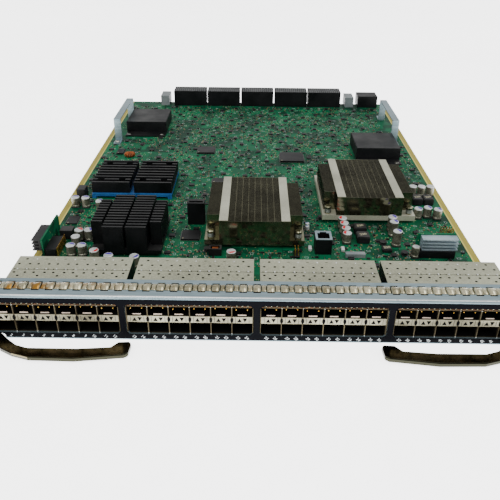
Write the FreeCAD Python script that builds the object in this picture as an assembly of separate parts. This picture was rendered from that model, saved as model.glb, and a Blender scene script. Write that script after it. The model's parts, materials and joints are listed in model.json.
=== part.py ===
import FreeCAD, Part
import math
import os

from FreeCAD import Vector

# Switch line card: a front plate with 48 stacked transceiver cages, on a long board
# that slides into a chassis. Millimetres. X runs along the front plate from its middle,
# Y runs back from the front plate's face, Z runs up from its lower edge.

# ---- driving dimensions ------------------------------------------------------------

# front plate
PLATE_WIDTH = 389.0
PLATE_HEIGHT = 36.5
PLATE_SHEET = 1.6
OVERLAY_SHEET = 0.4
OVERLAY_MARGIN = 5.5        # bare metal between the overlay and a captive screw
PLATE_BEND = 2.0            # outer radius of the bends along the plate's long edges
FLANGE_DEPTH = 21.7
LIP_DEPTH = 7.0
NOTCH_MARGIN = 7.5          # how far a lever notch runs inward past the pivot bracket
NOTCH_HEIGHT = 5.4
NOTCH_RADIUS = 2.0

# main board and tray
BOARD_SHEET = 3.0
BOARD_LIFT = 2.5            # underside of the board above the lower edge of the plate
BOARD_WIDTH = 372.4
BOARD_FRONT = 3.0
BOARD_REAR = 548.0
BOARD_NOTCH_GAP = 4.5       # between the board and the pivot bracket
BOARD_NOTCH_DEPTH = 24.0
TRAY_SHEET = 1.0
TRAY_WIDTH = 340.0
TRAY_FRONT = 9.0
TRAY_REAR = 544.0
STANDOFF_RADIUS = 3.2
HEX_SIDES = 6

# transceiver cages
GROUPS = 4
PORTS_ACROSS = 6
PORT_PITCH = 14.25
GROUP_GAP = 5.17
CAGE_LENGTH = 61.0
DIVIDER_FRONT = 1.2         # front edges of the plates between two columns
BAND_FRONT = 1.5
CAGE_HEIGHT = 24.0
COVER_SHEET = 0.5
FLOOR_SHEET = 0.5
WALL_SHEET = 0.6
BAND_LIFT = 9.9             # underside of the middle band above the board
BAND_HEIGHT = 5.1
BAND_LENGTH = 41.0
OPENING_RIM = 1.3           # room for the spring collar above the cage
OPENING_CORNER = 2.2
COLLAR_DEPTH = 6.0
CONNECTOR_WIDTH = 11.0
CONNECTOR_LENGTH = 13.0
CARD_SLOT_HEIGHT = 1.2
CARD_SLOT_DEPTH = 4.0
CARD_SLOT_LIFT = 5.2        # card slot above each port's floor

# spring gasket on the flange
FINGER_PITCH = 9.34
FINGER_END_GAP = 8.0        # least room from the last finger's middle to the plate's end
FINGER_SLIT = 0.5
FINGER_SHEET = 0.3
FINGER_FRONT = 8.0
FINGER_REAR = 17.0
FINGER_RISE = 1.9
WINDOW_WIDTH = 5.0
WINDOW_MARGIN = 0.9         # how far each window runs past the gasket, front and rear

# levers
LEVER_SHEET = 3.4
LEVER_LIFT = 1.2
PIVOT_INSET = 7.5           # from the end of the plate to the pivot and the captive screw
PIVOT_DEPTH = 9.0
PIVOT_RADIUS = 2.5
PIVOT_CLEARANCE = 0.05
LEVER_EYE = 6.5
BRACKET_INNER = 7.0         # how far the bracket reaches inward from the pivot
BRACKET_OUTER = 6.0
BRACKET_SHEET = 1.1
BRACKET_DEPTH = 17.5
BRACKET_TALL = 13.5
LEVER_GAP = 0.1             # between the lever and each ear of its bracket

# captive screws
CAPTIVE_HEIGHT = 24.0
CAPTIVE_TRAVEL = 5.0
KNOB_SIDES = 12
KNOB_RADIUS = 4.8
KNOB_LENGTH = 10.0
SHANK_RADIUS = 2.6
SHANK_CLEARANCE = 0.1
THREAD_RADIUS = 2.0
THREAD_LENGTH = 7.6
RING_RADIUS = 4.2
RING_SIDES = 8
RING_SHEET = 1.2

# capacitors
CAN_RADIUS = 4.0
CAN_SIDES = 10
SHORT_CAN = 10.3
TALL_CAN = 14.5

# nickel heatsinks, two alike
SINK_WIDTH = 85.4
SINK_LENGTH = 92.5
SINK_BASE = 5.0
SINK_TOP = 32.0             # above the lower edge of the plate, as are all tops below
SINK_FIN_WIDTH = 82.0
SINK_MIDDLE_WIDTH = 60.0
SINK_NOTCH = 12.5
SINK_PLATES = 22
SINK_PLATE_SHEET = 0.6
SINK_BAR_WIDTH = 7.5
CHIP_SIZE = 42.5
CHIP_HEIGHT = 3.0
SINK_SCREW_RADIUS = 3.4
SINK_SCREW_TOP = 21.0

# black cross-cut heatsink
BLACK_WIDTH = 58.4
BLACK_LENGTH = 61.6
BLACK_BASE = 3.5
BLACK_TOP = 33.5
BLACK_ROWS = 13
BLACK_FIN_SHEET = 2.0
BLACK_GAP = 1.9
BLACK_OUTER = 9.4           # width of an outer fin
BLACK_NOTCH_ROWS = 2

# ---- places worked out from the dimensions -----------------------------------------

BOARD_TOP = BOARD_LIFT + BOARD_SHEET
PIVOT_HALF = PLATE_WIDTH / 2 - PIVOT_INSET
BRACKET_HALF = PIVOT_HALF - BRACKET_INNER
NOTCH_HALF = BRACKET_HALF - NOTCH_MARGIN
BOARD_NOTCH_HALF = BRACKET_HALF - BOARD_NOTCH_GAP
OVERLAY_HALF = PIVOT_HALF - OVERLAY_MARGIN
FINGERS_EACH_SIDE = math.floor((PLATE_WIDTH / 2 - FINGER_END_GAP) / FINGER_PITCH)
PLATE_FACE = OVERLAY_SHEET
PLATE_BACK = OVERLAY_SHEET + PLATE_SHEET
CAGE_FRONT = PLATE_BACK
FLANGE_UNDER = PLATE_HEIGHT - PLATE_SHEET
GROUP_WIDTH = PORTS_ACROSS * PORT_PITCH
GROUP_PITCH = GROUP_WIDTH + GROUP_GAP
GROUP_CENTRES = [(i - (GROUPS - 1) / 2) * GROUP_PITCH for i in range(GROUPS)]
CAGE_TOP = BOARD_TOP + CAGE_HEIGHT
CAGE_FLOOR = BOARD_TOP + FLOOR_SHEET
CAGE_REAR = CAGE_FRONT + CAGE_LENGTH
BAND_LOW = BOARD_TOP + BAND_LIFT
BAND_HIGH = BAND_LOW + BAND_HEIGHT
LEVER_TOP = LEVER_LIFT + LEVER_SHEET
SINK_SEAT = BOARD_TOP + CHIP_HEIGHT
SINK_BASE_TOP = SINK_SEAT + SINK_BASE
BOTH_SIDES = (("left", -1), ("right", 1))


# ---- shapes ------------------------------------------------------------------------

def box(x0, x1, y0, y1, z0, z1):
    return Part.makeBox(x1 - x0, y1 - y0, z1 - z0, Vector(x0, y0, z0))


def block(x, y, width, length, z0, z1):
    """A box centred on x, y."""
    return box(x - width / 2, x + width / 2, y - length / 2, y + length / 2, z0, z1)


def post(x, y, z0, z1, radius):
    return Part.makeCylinder(radius, z1 - z0, Vector(x, y, z0))


def ring_points(u, v, radius, sides):
    """Corners of an even-sided figure about u, v, with a flat towards +v."""
    turns = [2 * math.pi * (i + 0.5) / sides + math.pi / 2 for i in range(sides)]
    return [(u + radius * math.cos(turn), v + radius * math.sin(turn)) for turn in turns]


def prism(x, y, z0, z1, radius, sides):
    """An upright post with that many flats, and its corners on radius."""
    return outline_xy(ring_points(x, y, radius, sides), z0, z1)


def rod_along_y(x, z, y0, y1, radius):
    return Part.makeCylinder(radius, y1 - y0, Vector(x, y0, z), Vector(0, 1, 0))


def outline(points, sweep):
    """The closed outline through points, swept by the vector sweep."""
    wire = Part.makePolygon(points + [points[0]])
    return Part.Face(wire).extrude(sweep)


def outline_yz(points, x0, x1):
    return outline([Vector(x0, y, z) for y, z in points], Vector(x1 - x0, 0, 0))


def outline_xz(points, y0, y1):
    return outline([Vector(x, y0, z) for x, z in points], Vector(0, y1 - y0, 0))


def outline_xy(points, z0, z1):
    return outline([Vector(x, y, z0) for x, y in points], Vector(0, 0, z1 - z0))


def arc_face(edges, sweep):
    return Part.Face(Part.Wire(edges)).extrude(sweep)


def joined(shapes):
    return shapes[0].fuse(shapes[1:]).removeSplitter()


def group(shapes):
    """Separate solids that share one node."""
    return Part.makeCompound(shapes)


def mirrored(shape, side):
    if side > 0:
        return shape
    return shape.mirror(Vector(0, 0, 0), Vector(1, 0, 0))


# ---- front plate -------------------------------------------------------------------

def bent_profile(front, sheet, back_high, back_low, low, high):
    """Side view of a sheet with a flange at each long edge, as a list of edges."""
    inner = front + sheet
    bend = PLATE_BEND
    inside = max(bend - sheet, 0.2)
    turn = math.sqrt(0.5)

    def at(y, z):
        return Vector(-PLATE_WIDTH / 2, y, z)

    edges = [Part.LineSegment(at(front, low + bend), at(front, high - bend))]
    edges.append(Part.Arc(at(front, high - bend),
                          at(front + bend - bend * turn, high - bend + bend * turn),
                          at(front + bend, high)))
    edges.append(Part.LineSegment(at(front + bend, high), at(back_high, high)))
    edges.append(Part.LineSegment(at(back_high, high), at(back_high, high - sheet)))
    edges.append(Part.LineSegment(at(back_high, high - sheet), at(inner + inside, high - sheet)))
    edges.append(Part.Arc(at(inner + inside, high - sheet),
                          at(inner + inside - inside * turn, high - sheet - inside + inside * turn),
                          at(inner, high - sheet - inside)))
    edges.append(Part.LineSegment(at(inner, high - sheet - inside), at(inner, low + sheet + inside)))
    edges.append(Part.Arc(at(inner, low + sheet + inside),
                          at(inner + inside - inside * turn, low + sheet + inside - inside * turn),
                          at(inner + inside, low + sheet)))
    edges.append(Part.LineSegment(at(inner + inside, low + sheet), at(back_low, low + sheet)))
    edges.append(Part.LineSegment(at(back_low, low + sheet), at(back_low, low)))
    edges.append(Part.LineSegment(at(back_low, low), at(front + bend, low)))
    edges.append(Part.Arc(at(front + bend, low),
                          at(front + bend - bend * turn, low + bend - bend * turn),
                          at(front, low + bend)))
    return [edge.toShape() for edge in edges]


def opening_cut(centre, y0, y1):
    """The window for one group of cages, with its four corners cut off."""
    half = GROUP_WIDTH / 2 + WALL_SHEET
    low = CAGE_FLOOR
    high = CAGE_TOP + OPENING_RIM
    corner = OPENING_CORNER
    points = [(centre - half + corner, low), (centre + half - corner, low),
              (centre + half, low + corner), (centre + half, high - corner),
              (centre + half - corner, high), (centre - half + corner, high),
              (centre - half, high - corner), (centre - half, low + corner)]
    return outline_xz(points, y0, y1)


def lever_notch(side, y0, y1):
    """Room for a lever's arm under one end of the plate."""
    end = PLATE_WIDTH / 2 + 1
    corner = Part.makeCylinder(NOTCH_RADIUS, y1 - y0,
                               Vector(NOTCH_HALF + NOTCH_RADIUS, y0, NOTCH_HEIGHT - NOTCH_RADIUS),
                               Vector(0, 1, 0))
    low = box(NOTCH_HALF, end, y0, y1, -1, NOTCH_HEIGHT - NOTCH_RADIUS)
    high = box(NOTCH_HALF + NOTCH_RADIUS, end, y0, y1, -1, NOTCH_HEIGHT)
    return mirrored(joined([low, high, corner]), side)


def finger_places():
    return [i * FINGER_PITCH for i in range(-FINGERS_EACH_SIDE, FINGERS_EACH_SIDE + 1)]


def gasket_windows():
    front = FINGER_FRONT - WINDOW_MARGIN
    rear = FINGER_REAR + WINDOW_MARGIN
    return [box(x - WINDOW_WIDTH / 2, x + WINDOW_WIDTH / 2, front, rear,
                FLANGE_UNDER - 1, PLATE_HEIGHT + 1) for x in finger_places()]


def make_front_plate():
    profile = bent_profile(PLATE_FACE, PLATE_SHEET, FLANGE_DEPTH, LIP_DEPTH, 0, PLATE_HEIGHT)
    plate = arc_face(profile, Vector(PLATE_WIDTH, 0, 0))
    cuts = [opening_cut(centre, -1, PLATE_BACK + 1) for centre in GROUP_CENTRES]
    cuts += [lever_notch(side, -1, LIP_DEPTH + 1) for _, side in BOTH_SIDES]
    cuts += [rod_along_y(side * PIVOT_HALF, CAPTIVE_HEIGHT, -1, PLATE_BACK + 1,
                         SHANK_RADIUS + SHANK_CLEARANCE) for _, side in BOTH_SIDES]
    return plate.cut(cuts + gasket_windows())


def make_front_overlay():
    overlay = box(-OVERLAY_HALF, OVERLAY_HALF, 0, OVERLAY_SHEET, PLATE_BEND, PLATE_HEIGHT - PLATE_BEND)
    cuts = [opening_cut(centre, -1, OVERLAY_SHEET + 1) for centre in GROUP_CENTRES]
    cuts += [lever_notch(side, -1, OVERLAY_SHEET + 1) for _, side in BOTH_SIDES]
    return overlay.cut(cuts)


def arch_points(front, rear, foot, rise, sheet):
    """Side view of a springy strip folded into three flats, standing on foot."""
    run = (rear - front) / 3
    slant = sheet * math.hypot(run, rise) / rise
    return [(front, foot), (front + run, foot + rise), (rear - run, foot + rise), (rear, foot),
            (rear - slant, foot), (rear - run - slant / 3, foot + rise - sheet),
            (front + run + slant / 3, foot + rise - sheet), (front + slant, foot)]


def make_flange_gasket():
    """One arched finger over each window of the flange."""
    half = (FINGER_PITCH - FINGER_SLIT) / 2
    points = arch_points(FINGER_FRONT, FINGER_REAR, PLATE_HEIGHT, FINGER_RISE, FINGER_SHEET)
    return group([outline_yz(points, x - half, x + half) for x in finger_places()])


# ---- transceiver cages -------------------------------------------------------------

def make_cage_cover(centre):
    """Bent sheet: the top and the rear wall over one group."""
    half = GROUP_WIDTH / 2 + WALL_SHEET / 2
    inner_rear = CAGE_REAR - COVER_SHEET
    inner_top = CAGE_TOP - COVER_SHEET
    points = [(CAGE_FRONT, inner_top), (CAGE_FRONT, CAGE_TOP), (CAGE_REAR, CAGE_TOP),
              (CAGE_REAR, BOARD_TOP), (inner_rear, BOARD_TOP), (inner_rear, inner_top)]
    return outline_yz(points, centre - half, centre + half)


def make_cage_floor(centre):
    half = GROUP_WIDTH / 2 + WALL_SHEET / 2
    return box(centre - half, centre + half, CAGE_FRONT, CAGE_REAR - COVER_SHEET,
               BOARD_TOP, CAGE_FLOOR)


def make_cage_walls():
    walls = []
    for centre in GROUP_CENTRES:
        for i in range(PORTS_ACROSS + 1):
            x = centre - GROUP_WIDTH / 2 + i * PORT_PITCH
            front = CAGE_FRONT if i in (0, PORTS_ACROSS) else DIVIDER_FRONT
            walls.append(box(x - WALL_SHEET / 2, x + WALL_SHEET / 2, front,
                             CAGE_REAR - COVER_SHEET, CAGE_FLOOR, CAGE_TOP - COVER_SHEET))
    return group(walls)


def column_centres():
    return [centre + (i - (PORTS_ACROSS - 1) / 2) * PORT_PITCH
            for centre in GROUP_CENTRES for i in range(PORTS_ACROSS)]


def make_port_bands():
    """The closed box between the upper and the lower port of each column."""
    half = (PORT_PITCH - WALL_SHEET) / 2
    return group([box(x - half, x + half, BAND_FRONT, CAGE_FRONT + BAND_LENGTH,
                      BAND_LOW, BAND_HIGH) for x in column_centres()])


def make_port_connectors():
    """A connector block for each column, with a card slot for each of its two ports."""
    front = CAGE_FRONT + BAND_LENGTH
    rear = front + CONNECTOR_LENGTH
    slot = front + CARD_SLOT_DEPTH
    top = CAGE_TOP - COVER_SHEET
    lower = CAGE_FLOOR + CARD_SLOT_LIFT
    upper = BAND_HIGH + CARD_SLOT_LIFT
    points = [(front, CAGE_FLOOR), (front, lower), (slot, lower),
              (slot, lower + CARD_SLOT_HEIGHT), (front, lower + CARD_SLOT_HEIGHT),
              (front, upper), (slot, upper), (slot, upper + CARD_SLOT_HEIGHT),
              (front, upper + CARD_SLOT_HEIGHT), (front, top), (rear, top), (rear, CAGE_FLOOR)]
    half = CONNECTOR_WIDTH / 2
    return group([outline_yz(points, x - half, x + half) for x in column_centres()])


def make_opening_collars():
    """Arched spring strips between each group's cover and its window's upper edge."""
    half = GROUP_WIDTH / 2 - OPENING_CORNER
    strips = []
    for centre in GROUP_CENTRES:
        points = arch_points(PLATE_FACE, PLATE_FACE + COLLAR_DEPTH, CAGE_TOP,
                             OPENING_RIM, FINGER_SHEET)
        strips.append(outline_yz(points, centre - half, centre + half))
    return group(strips)


# ---- board and tray ----------------------------------------------------------------

STANDOFF_PLACES = ([(x, 82) for x in (-150, 150)]
                   + [(x, 300) for x in (-72, 48)]
                   + [(x, 505) for x in (-150, -50, 50, 150)])


def make_main_board():
    half = BOARD_WIDTH / 2
    notch = BOARD_NOTCH_HALF
    points = [(-notch, BOARD_FRONT), (notch, BOARD_FRONT), (notch, BOARD_NOTCH_DEPTH),
              (half, BOARD_NOTCH_DEPTH), (half, BOARD_REAR), (-half, BOARD_REAR),
              (-half, BOARD_NOTCH_DEPTH), (-notch, BOARD_NOTCH_DEPTH)]
    return outline_xy(points, BOARD_LIFT, BOARD_TOP)


def make_carrier_tray():
    half = TRAY_WIDTH / 2
    return box(-half, half, TRAY_FRONT, TRAY_REAR, 0, TRAY_SHEET)


def make_board_standoffs():
    return group([prism(x, y, TRAY_SHEET, BOARD_LIFT, STANDOFF_RADIUS, HEX_SIDES)
                  for x, y in STANDOFF_PLACES])


# ---- heatsinks ---------------------------------------------------------------------

NICKEL_SINKS = (("centre", -2.0, 120.5), ("right", 103.1, 170.0))
SINK_SCREW_INSET = 5.2


def sink_screw_places(x, front):
    across = SINK_WIDTH / 2 - SINK_SCREW_INSET
    return [(x + i * across, y) for i in (-1, 1)
            for y in (front + SINK_SCREW_INSET, front + SINK_LENGTH - SINK_SCREW_INSET)]


def make_sink_base(x, front):
    rear = front + SINK_LENGTH
    return box(x - SINK_WIDTH / 2, x + SINK_WIDTH / 2, front, rear, SINK_SEAT, SINK_BASE_TOP)


def make_sink_fins(x, front):
    """Upright plates across the air flow, and the two bars of folded tabs on top of them."""
    step = (SINK_LENGTH - SINK_PLATE_SHEET) / (SINK_PLATES - 1)
    under_bars = SINK_TOP - SINK_PLATE_SHEET
    parts = []
    for i in range(SINK_PLATES):
        y = front + i * step
        inside = SINK_NOTCH <= y - front <= SINK_LENGTH - SINK_NOTCH
        width = SINK_FIN_WIDTH if inside else SINK_MIDDLE_WIDTH
        parts.append(box(x - width / 2, x + width / 2, y, y + SINK_PLATE_SHEET,
                         SINK_BASE_TOP, under_bars))
    for side in (-1, 1):
        middle = x + side * (SINK_MIDDLE_WIDTH - SINK_BAR_WIDTH) / 2
        parts.append(box(middle - SINK_BAR_WIDTH / 2, middle + SINK_BAR_WIDTH / 2, front,
                         front + SINK_LENGTH, under_bars, SINK_TOP))
    return group(parts)


def make_chip(x, y, size):
    return block(x, y, size, size, BOARD_TOP, SINK_SEAT)


def make_sink_screws():
    """Hexagon-headed spring screws in the bare corners of the two bases."""
    return group([prism(a, b, SINK_BASE_TOP, SINK_SCREW_TOP, SINK_SCREW_RADIUS, HEX_SIDES)
                  for _, x, front in NICKEL_SINKS for a, b in sink_screw_places(x, front)])


BLACK_X = -108.5
BLACK_Y = 134.4


def make_black_sink():
    """Base plate with rows of upright fins, each row cut into four, and corners left bare."""
    seat = SINK_SEAT
    foot = seat + BLACK_BASE
    front = BLACK_Y - BLACK_LENGTH / 2
    step = (BLACK_LENGTH - BLACK_FIN_SHEET) / (BLACK_ROWS - 1)
    inner = (BLACK_WIDTH - 2 * BLACK_OUTER - 3 * BLACK_GAP) / 2
    left = BLACK_X - BLACK_WIDTH / 2
    spans = [(left, left + BLACK_OUTER)]
    for _ in range(2):
        start = spans[-1][1] + BLACK_GAP
        spans.append((start, start + inner))
    spans.append((spans[-1][1] + BLACK_GAP, left + BLACK_WIDTH))
    parts = [block(BLACK_X, BLACK_Y, BLACK_WIDTH, BLACK_LENGTH, seat, foot)]
    for row in range(BLACK_ROWS):
        at_end = row < BLACK_NOTCH_ROWS or row >= BLACK_ROWS - BLACK_NOTCH_ROWS
        y = front + row * step
        for x0, x1 in (spans[1:3] if at_end else spans):
            parts.append(box(x0, x1, y, y + BLACK_FIN_SHEET, foot, BLACK_TOP))
    return joined(parts)


# blue carrier with two low black heatsinks
CARRIER_X = -124.0
CARRIER_WIDTH = 79.0
CARRIER_FRONT = 216.0
CARRIER_LENGTH = 63.0
CARRIER_LIFT = 2.5
CARRIER_SHEET = 2.6
CARRIER_FOOT = 4.0
LOW_SINK_WIDTH = 37.4
LOW_SINK_LENGTH = 57.5
LOW_SINK_TOP = 22.0
LOW_SINK_BASE = 3.0
LOW_SINK_FINS = 9
LOW_SINK_FIN_SHEET = 2.2
LOW_SINK_CUT = 6.5
LOW_SINK_CUT_INSET = 5.0


def make_carrier():
    low = BOARD_TOP + CARRIER_LIFT
    middle = CARRIER_FRONT + CARRIER_LENGTH / 2
    parts = [block(CARRIER_X, middle, CARRIER_WIDTH, CARRIER_LENGTH, low, low + CARRIER_SHEET)]
    for i in (-1, 1):
        for j in (-1, 1):
            parts.append(block(CARRIER_X + i * (CARRIER_WIDTH - CARRIER_FOOT) / 2,
                               middle + j * (CARRIER_LENGTH - CARRIER_FOOT) / 2,
                               CARRIER_FOOT, CARRIER_FOOT, BOARD_TOP, low))
    return joined(parts)


def make_low_sink(x):
    """Low finned block with a clip pocket near each corner."""
    seat = BOARD_TOP + CARRIER_LIFT + CARRIER_SHEET
    foot = seat + LOW_SINK_BASE
    front = CARRIER_FRONT + (CARRIER_LENGTH - LOW_SINK_LENGTH) / 2
    half = LOW_SINK_WIDTH / 2
    step = (LOW_SINK_LENGTH - LOW_SINK_FIN_SHEET) / (LOW_SINK_FINS - 1)
    points = [(front + LOW_SINK_LENGTH, seat), (front, seat)]
    for i in range(LOW_SINK_FINS):
        y = front + i * step
        points += [(y, LOW_SINK_TOP), (y + LOW_SINK_FIN_SHEET, LOW_SINK_TOP)]
        if i < LOW_SINK_FINS - 1:
            points += [(y + LOW_SINK_FIN_SHEET, foot), (y + step, foot)]
    sink = outline_yz(points, x - half, x + half)
    pockets = []
    for i in (-1, 1):
        for y in (front + step, front + LOW_SINK_LENGTH - step - LOW_SINK_CUT):
            centre = x + i * (half - LOW_SINK_CUT_INSET - LOW_SINK_CUT / 2)
            pockets.append(box(centre - LOW_SINK_CUT / 2, centre + LOW_SINK_CUT / 2,
                               y, y + LOW_SINK_CUT, foot, LOW_SINK_TOP + 1))
    return sink.cut(pockets)


# ---- power modules that stand on edge ----------------------------------------------

MODULE_SHEET = 1.6
MODULE_TOP = 22.0
MODULE_FIN_PITCH = 3.0
MODULE_FINS = 4
MODULE_FIN_SHEET = 1.1
MODULE_SINK_BASE = 1.8
MODULE_SINK_DEPTH = 7.4
LEFT_MODULE_X = -177.4
LEFT_MODULE_Y = (101.0, 147.2)
LEFT_SINK_LENGTH = 27.0
RIGHT_MODULE_X = (134.6, 167.6)
RIGHT_MODULE_Y = 118.5
RIGHT_SINK_DEPTH = 8.8
RIGHT_SINK_INSET = 3.2


def comb_points(depth):
    """Side view of a heatsink: a base on the line 0 with fins that reach depth."""
    low = MODULE_TOP - (MODULE_FINS - 1) * MODULE_FIN_PITCH - MODULE_FIN_SHEET
    points = [(0, low)]
    for i in range(MODULE_FINS):
        z = low + i * MODULE_FIN_PITCH
        points += [(depth, z), (depth, z + MODULE_FIN_SHEET)]
        if i < MODULE_FINS - 1:
            points += [(MODULE_SINK_BASE, z + MODULE_FIN_SHEET),
                       (MODULE_SINK_BASE, z + MODULE_FIN_PITCH)]
    return points + [(0, MODULE_TOP)]


def make_left_module_board():
    return box(LEFT_MODULE_X, LEFT_MODULE_X + MODULE_SHEET, *LEFT_MODULE_Y, BOARD_TOP, MODULE_TOP)


def make_left_module_sink():
    points = [(LEFT_MODULE_X - d, z) for d, z in comb_points(MODULE_SINK_DEPTH)]
    return outline_xz(points, LEFT_MODULE_Y[0], LEFT_MODULE_Y[0] + LEFT_SINK_LENGTH)


def make_left_module_block():
    inner = LEFT_MODULE_X + MODULE_SHEET
    return box(inner, inner + 9.5, 102, 126, BOARD_TOP, BOARD_TOP + 7)


def make_module_pins():
    x = LEFT_MODULE_X + MODULE_SHEET + 10.6
    return group([block(x, 102.5 + i * 2.54, 0.64, 0.64, BOARD_TOP, BOARD_TOP + 8.5)
                  for i in range(10)])


def make_module_choke():
    return box(-171.5, -160.7, 132, 141, BOARD_TOP, 14)


def make_right_module_board():
    return box(*RIGHT_MODULE_X, RIGHT_MODULE_Y, RIGHT_MODULE_Y + MODULE_SHEET,
               BOARD_TOP, MODULE_TOP + 1)


def make_right_module_sink():
    points = [(RIGHT_MODULE_Y - d, z) for d, z in comb_points(RIGHT_SINK_DEPTH)]
    return outline_yz(points, RIGHT_MODULE_X[0] + RIGHT_SINK_INSET, RIGHT_MODULE_X[1])


def make_right_module_block():
    low = MODULE_TOP - (MODULE_FINS - 1) * MODULE_FIN_PITCH - MODULE_FIN_SHEET
    return box(RIGHT_MODULE_X[0] - 1, RIGHT_MODULE_X[1] - 2, RIGHT_MODULE_Y - 11,
               RIGHT_MODULE_Y, BOARD_TOP, low)


# ---- parts on the board ------------------------------------------------------------

SHORT_CANS = [(-174.6, 197.6), (-164.7, 197.0), (-149.4, 190.1),
              (-154.2, 131.8), (-154.2, 120.1), (-154.6, 105.5), (-145.4, 105.9),
              (-146.1, 132.4), (-133.2, 97.4), (-119.8, 89.7), (-98.8, 88.8), (-20.9, 98.3),
              (77.8, 160.8), (78.2, 151.4), (78.6, 142.0), (78.4, 132.6),
              (151.2, 182.0), (160.8, 184.6), (169.3, 181.0),
              (157.5, 233.0), (166.2, 232.8), (175.0, 233.3)]
TALL_CANS = [(121.7, 156.0), (121.3, 147.0), (120.8, 129.0)]
FLAT_PACKS = [(-58.5, 141.2, 16, 17, 1.6), (-169.8, 167.4, 10, 15, 1.2),
              (-159.8, 342.7, 8, 15, 1.8), (-40, 240, 14, 12, 1.2), (-40, 262, 14, 12, 1.2),
              (-10, 240, 14, 12, 1.2), (-10, 262, 14, 12, 1.2), (20, 240, 14, 12, 1.2),
              (20, 262, 14, 12, 1.2), (40, 330, 27, 27, 2.2), (-60, 350, 20, 20, 2.0)]
TOROID = (-147.0, 330.0, 6.4, 2.6, 4.8)
TOROID_SIDES = 10
INDUCTORS = [(92.6, 153.0, 11, 11, 6.5), (93.0, 136.8, 11, 12, 6.5),
             (157.9, 214.3, 9.4, 12.4, 7), (168.4, 214.3, 9.4, 12.4, 7),
             (111.0, 119.5, 8, 8, 3.5)]


def make_cans(places, height):
    return group([prism(x, y, BOARD_TOP, BOARD_TOP + height, CAN_RADIUS, CAN_SIDES)
                  for x, y in places])


def make_blocks(places):
    return group([block(x, y, width, length, BOARD_TOP, BOARD_TOP + height)
                  for x, y, width, length, height in places])


def make_toroid_choke():
    x, y, radius, hole, height = TOROID
    ring = prism(x, y, BOARD_TOP, BOARD_TOP + height, radius, TOROID_SIDES)
    return ring.cut(prism(x, y, BOARD_TOP, BOARD_TOP + height, hole, TOROID_SIDES))


def make_tall_transformer():
    return block(-173.6, 219.0, 8.4, 12, BOARD_TOP, 16)


def make_small_transformer():
    """Small core with a window on top, so that its winding shows."""
    core = block(-34.9, 110.9, 10.8, 7.8, BOARD_TOP, BOARD_TOP + 6.5)
    return core.cut(block(-34.9, 110.9, 7.6, 4.4, BOARD_TOP + 2, BOARD_TOP + 7))


def make_transformer_winding():
    return block(-34.9, 110.9, 5.0, 4.0, BOARD_TOP + 2, BOARD_TOP + 5.5)


JACK = (56.1, 119.2, 13.8, 15.4, 14.0)
JACK_WALL = 1.9
JACK_DEPTH = 11.0
JACK_RIM = 0.6
SLOT_BOX = (-55.4, 167.2, 15.4, 9.6, 21.7)


def jack_pocket(z0, z1):
    x, y, width, length, _ = JACK
    plug = block(x, y - 1, width - 2 * JACK_WALL, length - 2 * JACK_WALL - 2, z0, z1)
    key = block(x, y + length / 2 - JACK_WALL - 1.5, 5.6, 3, z0, z1)
    return joined([plug, key])


def make_jack_housing():
    x, y, width, length, height = JACK
    body = block(x, y, width, length, BOARD_TOP, BOARD_TOP + height)
    return body.cut(jack_pocket(BOARD_TOP + height - JACK_DEPTH, BOARD_TOP + height + 1))


def make_jack_rim():
    x, y, width, length, height = JACK
    top = BOARD_TOP + height
    return block(x, y, width, length, top, top + JACK_RIM).cut(jack_pocket(top - 1, top + 2))


def make_slot_box():
    x, y, width, length, height = SLOT_BOX
    body = block(x, y, width, length, BOARD_TOP, BOARD_TOP + height)
    return body.cut(block(x, y - 1, width - 3, 2.8, BOARD_TOP + height - 8, BOARD_TOP + height + 1))


def make_flat_connector():
    return block(82.7, 109.0, 16.6, 5, BOARD_TOP, BOARD_TOP + 3.6)


HEADER_X = 167.4
HEADER_Y = 142.4
PIN_PITCH = 2.54


def make_header_base():
    return block(HEADER_X, HEADER_Y, 5 * PIN_PITCH, 2.6 * PIN_PITCH, BOARD_TOP, BOARD_TOP + 2.5)


def make_header_pins():
    return group([block(HEADER_X + i * PIN_PITCH, HEADER_Y + j * PIN_PITCH, 0.64, 0.64,
                        BOARD_TOP + 2.5, BOARD_TOP + 11.0)
                  for i in range(-2, 3) for j in (-0.75, 0.75)])


# ---- straps, bricks and rear connectors --------------------------------------------

STRAPS = {"left": (-169.8, 381.5), "right": (168.7, 387.5)}
STRAP_WIDTH = 8.5
STRAP_LENGTH = 87.0
STRAP_SHEET = 1.5
STRAP_TOP = 33.2
STRAP_FOOT = 14.0
BRICKS = {"left": (-140.0, 411.0), "right": (138.9, 327.0)}
BRICK_WIDTH = 50.0
BRICK_LENGTH = 54.0
BRICK_TOP = 20.0
BRICK_SHOE = 1.5
BRICK_SHOE_FRONT = 15.0


def make_strap(x, front):
    """Folded strap: two feet, two legs and a flat top."""
    rear = front + STRAP_LENGTH
    t = STRAP_SHEET
    low = BOARD_TOP
    points = [(front - STRAP_FOOT, low), (front + t, low), (front + t, STRAP_TOP - t),
              (rear - t, STRAP_TOP - t), (rear - t, low), (rear + STRAP_FOOT, low),
              (rear + STRAP_FOOT, low + t), (rear, low + t), (rear, STRAP_TOP),
              (front, STRAP_TOP), (front, low + t), (front - STRAP_FOOT, low + t)]
    return outline_yz(points, x - STRAP_WIDTH / 2, x + STRAP_WIDTH / 2)


def make_brick(x, front):
    low = BOARD_TOP + BRICK_SHOE
    body = box(x - BRICK_WIDTH / 2, x + BRICK_WIDTH / 2, front, front + BRICK_LENGTH, low, BRICK_TOP)
    shoe = box(x - BRICK_WIDTH / 2, x + BRICK_WIDTH / 2, front - BRICK_SHOE_FRONT,
               front + BRICK_LENGTH, BOARD_TOP, low)
    return joined([body, shoe])


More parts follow.
